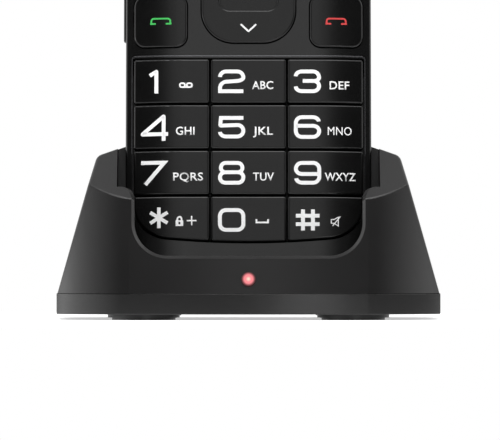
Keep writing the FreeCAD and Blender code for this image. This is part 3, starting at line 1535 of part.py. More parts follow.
def dock_screws():
    screws = []
    head_low = dims.foot_height + dims.dock_screw_sink
    under = dims.foot_height + dims.dock_screw_head_height
    for number, place in enumerate(dock_screw_places(), 1):
        head = rod(f"dock_screw_head_{number}", "z", place, head_low, under, dims.dock_screw_head)
        shank = rod(f"dock_screw_shank_{number}", "z", place, under, dims.dock_screw_top,
                    dims.dock_screw_radius)
        screws.append(join(f"dock_screw_{number}", head, shank))
    return finish(group("dock_screw_set", screws), "dock_screws")


def dock_circuit_board():
    board = Piece("dock_circuit_board")
    reach = dims.dock_board_half
    board.pad("top", [rectangle(-reach, reach, dock_board_front, dock_board_rear,
                               dims.dock_board_corner)],
              dims.dock_board_height, board_top)
    return board.done()


def dock_power_socket():
    half_wide = dims.socket_half
    low_y = socket_end - dims.socket_length
    shell = block("socket_shell", (-half_wide, half_wide), (low_y, socket_end), (board_top, socket_top))
    middle = (board_top + socket_top) / 2
    mouth = dims.socket_mouth_half
    tall = dims.socket_mouth_height / 2
    opening = block("socket_mouth", (-mouth, mouth), (socket_end - dims.socket_mouth_length,
                                                      socket_end + through), (middle - tall, middle + tall))
    wide = dims.socket_tongue_half
    thin = dims.socket_tongue_thickness / 2
    tongue = block("socket_tongue", (-wide, wide), (low_y + dims.merge, socket_end - dims.socket_tongue_sink),
                   (middle - thin, middle + thin))
    return finish(join("socket_whole", carve("socket_hollow", shell, opening), tongue), "dock_power_socket")


def contact_block():
    """Holder under the slot floor with the two sprung contact pins and their springs."""
    top = -dims.slot_floor - dims.slot_wall - dims.holder_gap
    body = block("holder_body", (-dims.holder_half, dims.holder_half),
                 (-dims.holder_high_depth, -dims.holder_low_depth), (-dims.holder_end, top))
    holes = []
    for hand, across in pin_places():
        side = "left" if hand < 0 else "right"
        place = (across, -contact_depth)
        holes.append(rod(f"holder_guide_{side}", "z", place, -dims.holder_end, 0,
                         dims.spring_pin_radius + dims.spring_pin_guide))
        holes.append(rod(f"holder_cavity_{side}", "z", place, -dims.spring_cavity_end,
                         -dims.spring_pin_tail + dims.spring_pin_guide * 2, dims.spring_cavity_radius))
        tail = -dims.spring_pin_tail
        shaft = rod(f"pin_shaft_{side}", "z", place, tail, dims.spring_pin_tip, dims.spring_pin_radius)
        flange = rod(f"pin_flange_{side}", "z", place, tail - dims.spring_flange_height, tail,
                     dims.spring_flange_radius)
        finish(join(f"pin_{side}", shaft, flange), f"contact_pin_{side}", stand)
        rest = tail - dims.spring_flange_height
        coil = rod(f"spring_coil_{side}", "z", place, -dims.spring_cavity_end + 0.05, rest - 0.05,
                   dims.spring_flange_radius)
        bore = rod(f"spring_core_{side}", "z", place, -dims.spring_cavity_end - 1, rest + 1,
                   dims.spring_bore)
        finish(carve(f"spring_{side}", coil, bore), f"contact_spring_{side}", stand)
    return finish(carve("holder_block", body, *holes), "contact_holder", stand)


def status_light():
    """A light pipe: a round lens in the front, bent down to the lamp on the board."""
    tail = front_plane_depth - dims.light_length
    lens = rod("light_lens", "depth", (0, light_up), tail, front_plane_depth + dims.light_rise,
               dims.light_radius)
    leg_up = (board_top + 0.1 - dims.phone_floor - tail * sine(lean)) / cosine(lean) + 0.3
    leg = rod("light_leg", "z", (0, -tail - dims.light_leg_radius - dims.light_heel), leg_up, light_up,
              dims.light_leg_radius)
    return finish(join("light_pipe", lens, leg), "dock_status_light", stand)


def build():
    front_cover()
    rear_cover()
    battery_cover()
    battery()
    base_screws()
    main_board()
    dome_sheet()
    keypad_mat()
    for row, (left, middle, right) in enumerate(NUMBER_KEYS):
        number_key(middle, row, 0)
        twin(left, number_key(right, row, 1))
    twin("call_key", side_function_key("end_key", side_key(call_key_bottom, call_key_top)))
    twin("left_soft_key", side_function_key("right_soft_key", side_key(soft_key_bottom, soft_key_top)))
    arrow_rocker()
    volume_rocker()
    usb_socket()
    charging_contacts()
    board_fittings()
    hinge_pin()
    lid_inner_cover()
    lid_outer_cover()
    lid_windows_and_panels()
    lid_fittings()
    dock_shell()
    dock_base_plate()
    rubber_feet()
    dock_ballast()
    dock_screws()
    dock_circuit_board()
    dock_power_socket()
    contact_block()
    status_light()


def check():
    """Stops if any object failed or any sub-part has no sound shape."""
    document.recompute()
    for thing in document.Objects:
        if {"Invalid", "Error"} & set(thing.State):
            raise RuntimeError(f"{thing.Label} could not be made: {thing.State}")
    for thing in sub_parts:
        if thing.Shape.isNull() or not thing.Shape.isValid() or not thing.Shape.Solids:
            raise RuntimeError(f"{thing.Label} has no sound shape")


def write():
    os.makedirs("parts", exist_ok=True)
    for thing in sub_parts:
        thing.Shape.exportStep(f"parts/{thing.Label}.step")


build()
check()
write()
for thing in sub_parts:
    print(f"{thing.Label}: {len(thing.Shape.Solids)} solid, {thing.Shape.Volume:.1f} mm3")
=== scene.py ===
"""Looks of a flip phone that stands open in its charging dock.

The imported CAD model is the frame. This script gives every CAD piece a finish, adds the
printed marks and small fittings, and sets the studio. Lengths are in metres in the frame:
X to the right, Y to the back, Z up, with the table at zero.
"""

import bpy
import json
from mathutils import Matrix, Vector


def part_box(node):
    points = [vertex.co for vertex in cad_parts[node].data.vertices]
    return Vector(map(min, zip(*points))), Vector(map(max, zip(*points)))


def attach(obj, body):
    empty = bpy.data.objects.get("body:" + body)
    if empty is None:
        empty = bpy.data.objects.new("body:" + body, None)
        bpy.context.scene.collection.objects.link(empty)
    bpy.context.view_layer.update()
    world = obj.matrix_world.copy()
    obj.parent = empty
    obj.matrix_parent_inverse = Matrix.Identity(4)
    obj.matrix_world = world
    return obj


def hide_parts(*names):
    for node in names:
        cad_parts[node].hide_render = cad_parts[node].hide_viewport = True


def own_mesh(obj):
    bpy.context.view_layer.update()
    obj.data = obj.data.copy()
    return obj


bl_info = {
    "name": "Flip phone and dock",
    "version": (1, 0, 0),
    "blender": (4, 5, 0),
    "location": "View3D > Sidebar > Phone",
    "description": "Dresses a flip phone in its charging dock and sets its studio",
    "category": "Object",
}
import json
import math

import bmesh
import bpy
from bpy.props import FloatProperty, FloatVectorProperty, PointerProperty
from mathutils import Matrix, Vector

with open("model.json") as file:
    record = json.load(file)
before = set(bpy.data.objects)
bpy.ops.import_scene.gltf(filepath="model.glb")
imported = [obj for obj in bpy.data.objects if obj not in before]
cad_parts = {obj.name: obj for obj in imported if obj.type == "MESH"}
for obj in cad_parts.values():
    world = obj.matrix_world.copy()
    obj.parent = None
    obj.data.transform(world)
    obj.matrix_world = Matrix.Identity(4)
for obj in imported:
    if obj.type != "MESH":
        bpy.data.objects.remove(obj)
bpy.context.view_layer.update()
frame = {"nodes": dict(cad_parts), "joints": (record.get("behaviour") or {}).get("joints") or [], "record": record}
NODES = frame["nodes"]
MM = 0.001
BODY_OF = {node: body for body, nodes in frame["record"]["behaviour"]["bodies"].items() for node in nodes}
JOINTS = {joint["name"]: joint for joint in frame["joints"]}
HINGE = Vector(JOINTS["lid_hinge"]["pos_m"])
UP = Vector(JOINTS["phone_lift"]["axis"]).normalized()
BACK = Vector(JOINTS["key_5_press"]["axis"]).normalized()
RIGHT = Vector((1, 0, 0))

# The phone's own sizes. Depths count forward from the back of the lower half, heights from its end.
KEY_PITCH = 9.92 * MM
KEY_SPAN = 48.8 * MM / 3
KEYPAD_BOTTOM = 5.9 * MM
CROWN_FLAT = 14.0 * MM         # half width of the flat middle of the front
CROWN_RADIUS = 56.0 * MM
FRAME_FACE = 10.4 * MM
KEY_FACE = 10.8 * MM
HINGE_DEPTH = 10.85 * MM
HINGE_HEIGHT = 82.0 * MM
LID_TILT = math.radians(3)     # the open lid leans forward by this
LID_UP = Vector((0, -math.sin(LID_TILT), math.cos(LID_TILT)))
LID_OUT = Vector((0, math.cos(LID_TILT), math.sin(LID_TILT)))
WINDOW_SINK = 0.1 * MM         # windows lie this far below the face round them
NUMBER_KEYS = (("key_star", "key_0", "key_hash"), ("key_7", "key_8", "key_9"),
               ("key_4", "key_5", "key_6"), ("key_1", "key_2", "key_3"))
FUNCTION_KEYS = ("left_soft_key", "right_soft_key", "call_key", "end_key", "arrow_rocker")


# Settings
class PhoneSizes(bpy.types.PropertyGroup):
    stroke: FloatProperty(name="Stroke", description="Width of the lines of the large marks",
                          default=0.81 * MM, unit="LENGTH")
    fine_stroke: FloatProperty(name="Fine stroke", description="Width of the lines of the small marks",
                               default=0.36 * MM, unit="LENGTH")
    digit_width: FloatProperty(name="Digit width", description="Width of a digit, outside",
                               default=5.75 * MM, unit="LENGTH")
    digit_height: FloatProperty(name="Digit height", description="Height of a digit, outside",
                                default=5.1 * MM, unit="LENGTH")
    letter_height: FloatProperty(name="Letter height", description="Height of the small letters",
                                 default=1.75 * MM, unit="LENGTH")
    print_rise: FloatProperty(name="Print rise", description="How far the marks stand above a key",
                              default=0.03 * MM, unit="LENGTH")


class PhoneColours(bpy.types.PropertyGroup):
    casing: FloatVectorProperty(name="Casing", description="Glossy casing of both halves",
                                default=(0.0026, 0.0026, 0.0029), subtype="COLOR")
    keys: FloatVectorProperty(name="Keys", description="Satin keys",
                              default=(0.0017, 0.0017, 0.0017), subtype="COLOR")
    dock: FloatVectorProperty(name="Dock", description="Moulded shell of the dock",
                              default=(0.0072, 0.0069, 0.007), subtype="COLOR")
    marks: FloatVectorProperty(name="Marks", description="Printed marks on the keys",
                               default=(0.95, 0.95, 0.95), subtype="COLOR")
    light: FloatVectorProperty(name="Light", description="Status light, between core and rim",
                               default=(1.0, 0.25, 0.28), subtype="COLOR")


class StudioSettings(bpy.types.PropertyGroup):
    view_width: FloatProperty(name="View width", description="Width of the picture at the keypad",
                              default=105.5 * MM, unit="LENGTH")
    view_right: FloatProperty(name="View right", default=0.32 * MM, unit="LENGTH",
                              description="How far right of the middle the camera stands")
    view_height: FloatProperty(name="View height", description="Height of the camera above the table",
                               default=21.0 * MM, unit="LENGTH")
    lens: FloatProperty(name="Lens", description="Focal length of the camera", default=600,
                        unit="CAMERA")
    front_light: FloatProperty(name="Front light", description="Radiance of the soft box in front",
                               default=1.05)
    low_light: FloatProperty(name="Low light", default=7.3,
                             description="Radiance of the small box close to the table")
    top_light: FloatProperty(name="Top light", description="Radiance of the soft box above", default=2.25)
    side_light: FloatProperty(name="Side light", description="Radiance of the room at the sides",
                              default=2.1)
    over_light: FloatProperty(name="Overhead light", description="Radiance of the ceiling", default=1.1)
    room: FloatProperty(name="Room", description="Radiance of the room in front", default=0.016)


# Shader maths
def both_ways(operation):
    """An operator of a Wire and its reflected form, as in 1 - mask. Each adds its Math node."""
    return (lambda wire, other: wire.math(operation, wire, other),
            lambda wire, other: wire.math(operation, other, wire))


class Wire:
    """A shader socket on which plain arithmetic works."""

    __add__, __radd__ = both_ways("ADD")
    __sub__, __rsub__ = both_ways("SUBTRACT")
    __mul__, __rmul__ = both_ways("MULTIPLY")
    __truediv__, __rtruediv__ = both_ways("DIVIDE")
    __pow__, __rpow__ = both_ways("POWER")

    def __init__(self, paint, socket):
        self.paint = paint
        self.socket = socket

    def math(self, operation, *values):
        return self.paint.node("ShaderNodeMath", {"operation": operation}, *values)

    def __neg__(self):
        return self.math("MULTIPLY", self, -1)

    def __abs__(self):
        return self.math("ABSOLUTE", self)

    def step(self, low, high):
        """0 below low, 1 above high and smooth between."""
        return self.paint.node("ShaderNodeMapRange", {"interpolation_type": "SMOOTHSTEP"}, self, low, high)

    def least(self, other):
        return self.math("MINIMUM", self, other)

    def most(self, other):
        return self.math("MAXIMUM", self, other)

    def stripes(self):
        """0.5 at each whole number, falling to 0 halfway between."""
        return abs(self.math("FRACT", self) - 0.5)


class Nodes:
    """Adds nodes to a material or to the world."""

    def __init__(self, owner):
        owner.use_nodes = True
        self.tree = owner.node_tree
        self.tree.nodes.clear()

    def feed(self, socket, value):
        if isinstance(value, Wire):
            self.tree.links.new(value.socket, socket)
        else:
            socket.default_value = value

    def node(self, kind, settings=None, *values, output=0, **named):
        """Adds a node. Settings come first, then values by place, then values by socket name."""
        made = self.tree.nodes.new(kind)
        for name, value in (settings or {}).items():
            setattr(made, name, value)
        for socket, value in zip(made.inputs, values):
            self.feed(socket, value)
        for name, value in named.items():
            self.feed(made.inputs[name.replace("_", " ")], value)
        return Wire(self, made.outputs[output])

    def rays(self):
        """Which kind of ray looks: from the camera, mirrored or let through."""
        outputs = self.node("ShaderNodeLightPath").socket.node.outputs
        return [Wire(self, outputs[f"Is {kind} Ray"]) for kind in ("Camera", "Glossy", "Transmission")]

    def split(self, vector):
        """The three parts of a vector."""
        outputs = self.node("ShaderNodeSeparateXYZ", None, vector).socket.node.outputs
        return [Wire(self, outputs[axis]) for axis in "XYZ"]


class Paint(Nodes):
    """A new material and the nodes that its pattern is made of."""

    def __init__(self, name):
        self.material = bpy.data.materials.new(name)
        super().__init__(self.material)
        self.shader = self.tree.nodes.new("ShaderNodeBsdfPrincipled")
        self.output = self.tree.nodes.new("ShaderNodeOutputMaterial")
        self.tree.links.new(self.shader.outputs[0], self.output.inputs["Surface"])

    def place(self):
        """The point on the piece, in the frame."""
        return self.node("ShaderNodeTexCoord", output="Object")

    def axes(self):
        """The three parts of that point."""
        return self.split(self.place())

    def noise(self, size, detail):
        """Soft noise about 0.5; size is the length of one blotch."""
        return self.node("ShaderNodeTexNoise", None, Vector=self.place(), Scale=1 / size, Detail=detail)

    def blend(self, amount, first, second):
        """A mix of two colours."""
        made = self.tree.nodes.new("ShaderNodeMix")
        made.data_type = "RGBA"
        self.feed(made.inputs["Factor"], amount)
        for name, value in (("A", first), ("B", second)):
            socket = [s for s in made.inputs if s.name == name and s.type == "RGBA"][0]
            self.feed(socket, value if isinstance(value, Wire) else rgba(value))
        return Wire(self, [s for s in made.outputs if s.type == "RGBA"][0])

    def bump(self, height, depth):
        """Bumps of this depth where height is 1."""
        return self.node("ShaderNodeBump", None, Height=height, Distance=depth, Strength=1.0)

    def finish(self, **values):
        """Feeds the shader's sockets and returns the material."""
        for name, value in values.items():
            socket = self.shader.inputs[name.replace("_", " ")]
            if not isinstance(value, (Wire, float, int)):
                value = rgba(value)
            self.feed(socket, value)
        return self.material


def rgba(colour):
    return (*tuple(colour)[:3], 1.0)


def tinted(colour, amount):
    return tuple(min(1.0, part * amount) for part in tuple(colour)[:3])


FINISHES = {}


def finish(name):
    """The material of this name, made on its first use by the function of that name."""
    if name not in FINISHES:
        FINISHES[name] = MAKERS[name](name)
    return FINISHES[name]


def coat(thing, name):
    """Puts a finish on all of a piece."""
    thing.data.materials.clear()
    thing.data.materials.append(finish(name))


def colours():
    return bpy.context.scene.phone_colours


def sizes():
    return bpy.context.scene.phone_sizes


PLASTIC_IOR = 1.45
FRAME_IOR = 1.54               # the lacquered keypad frame shines more


def moulded(name, colour, tints, grain, cloud, roughness, depth, ior=PLASTIC_IOR):
    """Plastic with a fine grain and soft clouds, each given by size and detail. Roughness is the least
    and what clouds and grain add."""
    paint = Paint(name)
    grains, clouds = paint.noise(*grain), paint.noise(*cloud)
    dark, light = [tinted(colour, tint) for tint in tints]
    least, by_cloud, by_grain = roughness
    return paint.finish(Base_Color=paint.blend(clouds, dark, light),
                        Roughness=least + by_cloud * clouds + by_grain * grains,
                        Normal=paint.bump(grains, depth), IOR=ior)


def grained(name, grain, dark, light, roughness, depth=None, **constants):
    """A finish whose colour and roughness follow one fine grain, with bumps of the depth given."""
    paint = Paint(name)
    grains = paint.noise(*grain)
    least, by_grain = roughness
    if depth:
        constants["Normal"] = paint.bump(grains, depth)
    return paint.finish(Base_Color=paint.blend(grains, dark, light), Roughness=least + by_grain * grains,
                        **constants)


def gloss_casing(name):
    paint = Paint(name)
    colour = colours().casing
    smudges = paint.noise(9 * MM, 4.0).step(0.45, 0.75)
    ripple = paint.noise(2.5 * MM, 1.0)
    dust = paint.noise(0.25 * MM, 1.0).step(0.66, 0.74)
    return paint.finish(Base_Color=paint.blend(smudges * 0.6, colour, tinted(colour, 1.6)),
                        Roughness=0.13 + 0.08 * smudges + 0.12 * dust,
                        Normal=paint.bump(ripple, 0.004 * MM), IOR=PLASTIC_IOR)


def frame_satin(name):
    return moulded(name, colours().keys, tints=(0.8, 1.3), grain=(0.16 * MM, 2.0), cloud=(7 * MM, 3.0),
                   roughness=(0.18, 0.05, 0.04), depth=0.002 * MM, ior=FRAME_IOR)


def key_satin(name):
    return moulded(name, colours().keys, tints=(0.8, 1.25), grain=(0.14 * MM, 2.0), cloud=(6 * MM, 3.0),
                   roughness=(0.18, 0.05, 0.04), depth=0.002 * MM)


def dock_plastic(name):
    return moulded(name, colours().dock, tints=(0.8, 1.25), grain=(0.22 * MM, 3.0),
                   cloud=(14 * MM, 3.0), roughness=(0.25, 0.05, 0.05), depth=0.003 * MM)


def plate_gloss(name):
    """The base plate: as the shell, but darker and smoother."""
    return moulded(name, colours().dock, tints=(0.3, 0.5), grain=(0.22 * MM, 3.0),
                   cloud=(14 * MM, 3.0), roughness=(0.14, 0.04, 0.03), depth=0.002 * MM)


def dark_plastic(name):
    return grained(name, grain=(0.3 * MM, 3.0), dark=(0.012, 0.012, 0.013), light=(0.022, 0.022, 0.023),
                   roughness=(0.45, 0.2), depth=0.01 * MM)


def soft_rubber(name):
    return grained(name, grain=(0.35 * MM, 4.0), dark=(0.004, 0.004, 0.004), light=(0.012, 0.012, 0.012),
                   roughness=(0.3, 0.12), depth=0.004 * MM, IOR=PLASTIC_IOR)


def silicone(name):
    return grained(name, grain=(0.5 * MM, 3.0), dark=(0.0015, 0.0015, 0.0015),
                   light=(0.003, 0.003, 0.003), roughness=(0.6, 0.2), depth=0.01 * MM, IOR=PLASTIC_IOR)


def printing_ink(name, dark, light):
    return grained(name, grain=(0.1 * MM, 2.0), dark=dark, light=light, roughness=(0.5, 0.1))


def marking_ink(name):
    return printing_ink(name, dark=tinted(colours().marks, 0.97), light=colours().marks)


def green_ink(name):
    return printing_ink(name, dark=(0.03, 0.42, 0.08), light=(0.05, 0.55, 0.1))


def red_ink(name):
    return printing_ink(name, dark=(0.55, 0.03, 0.03), light=(0.7, 0.05, 0.05))


def smoked_window(name):
    paint = Paint(name)
    smudges = paint.noise(11 * MM, 4.0).step(0.45, 0.8)
    return paint.finish(Base_Color=paint.blend(smudges, (0.004, 0.004, 0.005), (0.007, 0.007, 0.008)),
                        Roughness=0.04 + 0.07 * smudges, Alpha=0.62 + 0.06 * smudges)


def display_glass(name):
    """A screen that is off: pixels in a grid."""
    paint = Paint(name)
    pixel = 0.22 * MM
    across, _, up = paint.axes()
    grid = (up / pixel).stripes().most((across / pixel).stripes()).step(0.4, 0.5)
    return paint.finish(Base_Color=paint.blend(grid, (0.03, 0.036, 0.042), (0.012, 0.014, 0.017)),
                        Roughness=0.16 + 0.1 * grid)


def camera_glass(name):
    """Black glass with a small lens in its middle."""
    paint = Paint(name)
    low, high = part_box("camera_window")
    from_middle = paint.node("ShaderNodeVectorMath", {"operation": "DISTANCE"}, paint.place(),
                             tuple((low + high) / 2), output="Value")
    lens = 1.0 - from_middle.step(1.5 * MM, 1.6 * MM)
    iris = from_middle.step(0.6 * MM, 0.75 * MM) * lens
    mask = paint.blend(lens, (0.003, 0.003, 0.004), (0.004, 0.003, 0.02))
    return paint.finish(Base_Color=paint.blend(iris, mask, (0.05, 0.035, 0.1)),
                        Roughness=0.05 + 0.1 * iris, Coat_Weight=0.6 * lens)


def metal(name, dark, light, roughness, grain=0.3 * MM):
    return grained(name, (grain, 3.0), dark, light, roughness, Metallic=1.0)


def dark_chrome(name):
    return metal(name, dark=(0.09, 0.09, 0.095), light=(0.14, 0.14, 0.145), roughness=(0.18, 0.12),
                 grain=0.4 * MM)


def grille_mesh(name):
    """Woven wire: dark holes in rows."""
    paint = Paint(name)
    pitch = 0.4 * MM
    across, _, up = paint.axes()
    wire = (across / pitch).stripes().most((up / pitch).stripes()).step(0.26, 0.34)
    return paint.finish(Base_Color=paint.blend(wire, (0.002, 0.002, 0.002), (0.16, 0.16, 0.165)),
                        Metallic=wire, Roughness=0.3 + 0.4 * (1.0 - wire),
                        Normal=paint.bump(wire, 0.05 * MM))


def steel(name):
    return metal(name, dark=(0.46, 0.46, 0.47), light=(0.6, 0.6, 0.61), roughness=(0.22, 0.16))


def gold(name):
    return metal(name, dark=(0.72, 0.5, 0.18), light=(0.86, 0.62, 0.27), roughness=(0.2, 0.14))


def circuit_board(name):
    """Copper tracks that wander across the board."""
    paint = Paint(name)
    across, _, _ = paint.axes()
    copper = (paint.noise(2.2 * MM, 0.0) * 9 + across / (4 * MM)).stripes().step(0.40, 0.44)
    return paint.finish(Base_Color=paint.blend(copper, (0.006, 0.06, 0.025), (0.015, 0.13, 0.05)),
                        Roughness=0.3 + 0.1 * copper, Normal=paint.bump(copper, 0.02 * MM))


def wrapped_cell(name):
    return grained(name, grain=(3 * MM, 4.0), dark=(0.02, 0.022, 0.028), light=(0.035, 0.038, 0.046),
                   roughness=(0.3, 0.2), depth=0.03 * MM)


def cast_iron(name):
    return grained(name, grain=(0.6 * MM, 5.0), dark=(0.03, 0.03, 0.032), light=(0.08, 0.078, 0.075),
                   roughness=(0.5, 0.25), depth=0.06 * MM, Metallic=0.8)


def light_pipe(name):
    """Lit from behind: pale in the middle, red further out and dark at the rim."""
    paint = Paint(name)
    low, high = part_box("dock_status_light")
    radius = (high.x - low.x) / 2
    middle = high.z - radius * UP.z
    across, _, up = paint.axes()
    away = ((across * across + (up - middle) * (up - middle)) ** 0.5) / radius
    core, rim, unlit = (1.0, 0.76, 0.6), (0.05, 0.008, 0.01), (0.02, 0.001, 0.001)
    glow = paint.blend(away.step(0.0, 0.45), core, colours().light)
    return paint.finish(Base_Color=unlit, Roughness=0.12 + 0.05 * away,
                        Emission_Color=paint.blend(away.step(0.52, 0.96), glow, rim), Emission_Strength=1.0)


MAKERS = {maker.__name__: maker for maker in (
    gloss_casing, frame_satin, key_satin, dock_plastic, plate_gloss, dark_plastic, soft_rubber, silicone,
    marking_ink, green_ink, red_ink, smoked_window, display_glass, camera_glass, dark_chrome, grille_mesh,
    steel, gold, circuit_board, wrapped_cell, cast_iron, light_pipe)}

CAD_FINISHES = {
    "gloss_casing": ("base_rear_cover", "battery_cover", "lid_inner_cover", "lid_outer_cover",
                     "volume_rocker"),
    "frame_satin": ("base_front_cover",),
    "key_satin": tuple(key for row in NUMBER_KEYS for key in row) + FUNCTION_KEYS,
    "dock_plastic": ("dock_shell",),
    "plate_gloss": ("dock_base_plate",),
    "dark_plastic": ("loudspeaker", "earpiece", "camera_module", "contact_holder"),
    "soft_rubber": ("rubber_feet", "lid_bumpers"),
    "silicone": ("keypad_mat", "microphone"),
    "smoked_window": ("main_display_window", "outer_display_window"),
    "camera_glass": ("camera_window",),
    "display_glass": ("main_display_panel", "outer_display_panel"),
    "steel": ("base_screws", "dome_sheet", "usb_socket", "vibration_motor", "sim_holder", "hinge_pin",
              "lid_screws", "hinge_cartridge", "dock_screws", "dock_power_socket",
              "contact_spring_left", "contact_spring_right"),
    "gold": ("charging_contacts", "contact_pin_left", "contact_pin_right"),
    "circuit_board": ("main_board", "lid_board", "dock_circuit_board"),
    "wrapped_cell": ("battery",),
    "cast_iron": ("dock_ballast",),
    "light_pipe": ("dock_status_light",),
}


class PHONE_OT_coat_cad_pieces(bpy.types.Operator):
    """Gives every CAD piece its finish"""
    bl_idname = "phone.coat_cad_pieces"
    bl_label = "Coat CAD pieces"

    def execute(self, context):
        for name, nodes in CAD_FINISHES.items():
            for node in nodes:
                coat(NODES[node], name)
        bare = set(NODES) - {node for nodes in CAD_FINISHES.values() for node in nodes}
        if bare:
            raise RuntimeError(f"no finish for {sorted(bare)}")
        return {"FINISHED"}


# Printed marks. Outlines are lines of corners (across, up, rounding) in a box of width 1
# and height 1, drawn with a constant stroke.
ROUND = 0.3
DIGITS = {
    "0": ([(0, 0, ROUND), (1, 0, ROUND), (1, 1, ROUND), (0, 1, ROUND), "closed"],),
    "1": ([(0.28, 0.8, 0), (0.56, 1, 0.02), (0.56, -0.1, 0)],),
    "2": ([(0, 0.72, 0), (0, 1, ROUND), (1, 1, ROUND), (1, 0.54, ROUND), (0, 0.46, ROUND), (0, 0, 0),
           (1, 0, 0)],),
    "3": ([(0, 0.76, 0), (0, 1, ROUND), (1, 1, ROUND), (1, 0.52, 0.26), (0.3, 0.52, 0)],
          [(0.55, 0.52, 0), (1, 0.52, 0.26), (1, 0, ROUND), (0, 0, ROUND), (0, 0.24, 0)]),
    "4": ([(0.88, -0.19, 0), (0.88, 1.05, 0.03), (-0.03, 0.15, 0.03), (1.07, 0.15, 0)],),
    "5": ([(1, 0.96, 0), (0.04, 0.96, 0), (0.01, 0.57, 0.05), (1, 0.61, ROUND), (1, 0.02, ROUND),
           (0, 0.02, ROUND), (0, 0.25, 0)],),
    "6": ([(0.98, 0.78, 0), (0.98, 1, ROUND), (0, 1, ROUND), (0, 0, ROUND), (1, 0, ROUND), (1, 0.56, ROUND),
           (0.02, 0.56, 0)],),
    "7": ([(-0.085, 1.02, 0), (0.91, 1.02, 0), (0.1, -0.08, 0)],),
    "8": ([(0.04, 0.53, 0.22), (0.96, 0.53, 0.22), (0.96, 1, 0.24), (0.04, 1, 0.24), "closed"],
          [(0, 0, 0.26), (1, 0, 0.26), (1, 0.53, 0.26), (0, 0.53, 0.26), "closed"]),
    "9": ([(0.02, 0.22, 0), (0.02, 0, ROUND), (1, 0, ROUND), (1, 1, ROUND), (0, 1, ROUND), (0, 0.44, ROUND),
           (0.98, 0.44, 0)],),
}
SYMBOLS = {
    "star": ([(0.5, 0, 0), (0.5, 1, 0)], [(0.06, 0.24, 0), (0.94, 0.76, 0)],
             [(0.06, 0.76, 0), (0.94, 0.24, 0)]),
    "hash": ([(0.3, 0, 0), (0.3, 1, 0)], [(0.72, 0, 0), (0.72, 1, 0)], [(0, 0.3, 0), (1, 0.3, 0)],
             [(0, 0.7, 0), (1, 0.7, 0)]),
    "lock": ([(0, 0, 0), (1, 0, 0), (1, 0.5, 0), (0, 0.5, 0), "closed"], [(0.2, 0.02, 0), (0.2, 0.48, 0)],
             [(0.8, 0.02, 0), (0.8, 0.48, 0)],
             [(0.14, 0.5, 0), (0.14, 1, 0.3), (0.86, 1, 0.3), (0.86, 0.5, 0)]),
    "plus": ([(0, 0.5, 0), (1, 0.5, 0)], [(0.5, 0, 0), (0.5, 1, 0)]),
    "space": ([(0, 1, 0), (0, 0, 0), (1, 0, 0), (1, 1, 0)],),
    "muted": ([(0, 0.26, 0), (0.3, 0.26, 0), (0.78, -0.04, 0), (0.78, 0.96, 0), (0.3, 0.68, 0),
               (0, 0.68, 0), "closed"], [(0.14, -0.05, 0), (1.02, 1.05, 0)]),
    "tape": ([(0, 0, 0.45), (0.42, 0, 0.45), (0.42, 1, 0.45), (0, 1, 0.45), "closed"],
             [(0.58, 0, 0.45), (1, 0, 0.45), (1, 1, 0.45), (0.58, 1, 0.45), "closed"],
             [(0.2, 0, 0), (0.8, 0, 0)]),
    "handset": ([(0, 0, 0), (0, 0.9, 0.42), (1, 0.9, 0.42), (1, 0, 0)], [(-0.06, 0.06, 0), (0.24, 0.06, 0)],
                [(0.76, 0.06, 0), (1.06, 0.06, 0)]),
    "dash": ([(0, 0.5, 0), (1, 0.5, 0)],),
    "up": ([(0, 0, 0), (0.5, 1, 0.06), (1, 0, 0)],),
    "down": ([(0, 1, 0), (0.5, 0, 0.06), (1, 1, 0)],),
}
SINK = 0.05 * MM               # how deep the marks reach into their key
CROWN_STRIP = 0.6 * MM         # marks on a crowned key are cut into strips of this width
SAME = 0.001 * MM              # corners closer than this are one
STROKE_SAME = 0.02             # and so are those of a line closer than this share of its stroke
TURN_SEGMENTS = 7              # in a rounded turn of a line


def phone_point(across, depth, height):
    """A point of the phone's lower half: depth counts forward from its back, height from its lower end."""
    return HINGE + RIGHT * across - BACK * (depth - HINGE_DEPTH) + UP * (height - HINGE_HEIGHT)


def crown_fall(across):
    """How far the crowned front lies behind its flat middle."""
    beyond = max(0.0, abs(across) - CROWN_FLAT)
    return CROWN_RADIUS - math.sqrt(CROWN_RADIUS ** 2 - beyond ** 2)


def new_piece(name, data):
    thing = bpy.data.objects.new(name, data)
    bpy.context.scene.collection.objects.link(thing)
    return thing


def settled(thing):
    """A piece's mesh with its modifiers worked in. The piece itself goes."""
    graph = bpy.context.evaluated_depsgraph_get()
    mesh = bpy.data.meshes.new_from_object(thing.evaluated_get(graph))
    old = thing.data
    bpy.data.objects.remove(thing)
    if old.users == 0:
        (bpy.data.curves if isinstance(old, bpy.types.Curve) else bpy.data.meshes).remove(old)
    return mesh


def mesh_of(shape, name):
    """A mesh from a shape whose faces are turned outwards. The shape is used up."""
    bmesh.ops.recalc_face_normals(shape, faces=shape.faces)
    mesh = bpy.data.meshes.new(name)
    shape.to_mesh(mesh)
    shape.free()
    return mesh


def lift(shape, extruded, height):
    """Raises what an extrusion has made."""
    risen = [part for part in extruded["geom"] if isinstance(part, bmesh.types.BMVert)]
    bmesh.ops.translate(shape, verts=risen, vec=(0, 0, height))


def combined(whole, tools, operation):
    """The mesh of a piece that is joined with tools or cut by them. All the pieces go."""
    for tool in tools:
        change = whole.modifiers.new("change", "BOOLEAN")
        change.operation = operation
        change.solver = "EXACT"
        change.object = tool
    mesh = settled(whole)
    for tool in tools:
        bpy.data.objects.remove(tool)
    return mesh


def soften(thing):
    """Rounds the edges of a fitting a little."""
    edge = thing.modifiers.new("edge", "BEVEL")
    edge.width = ROUND_EDGE
    edge.segments = 2
    edge.limit_method = "ANGLE"


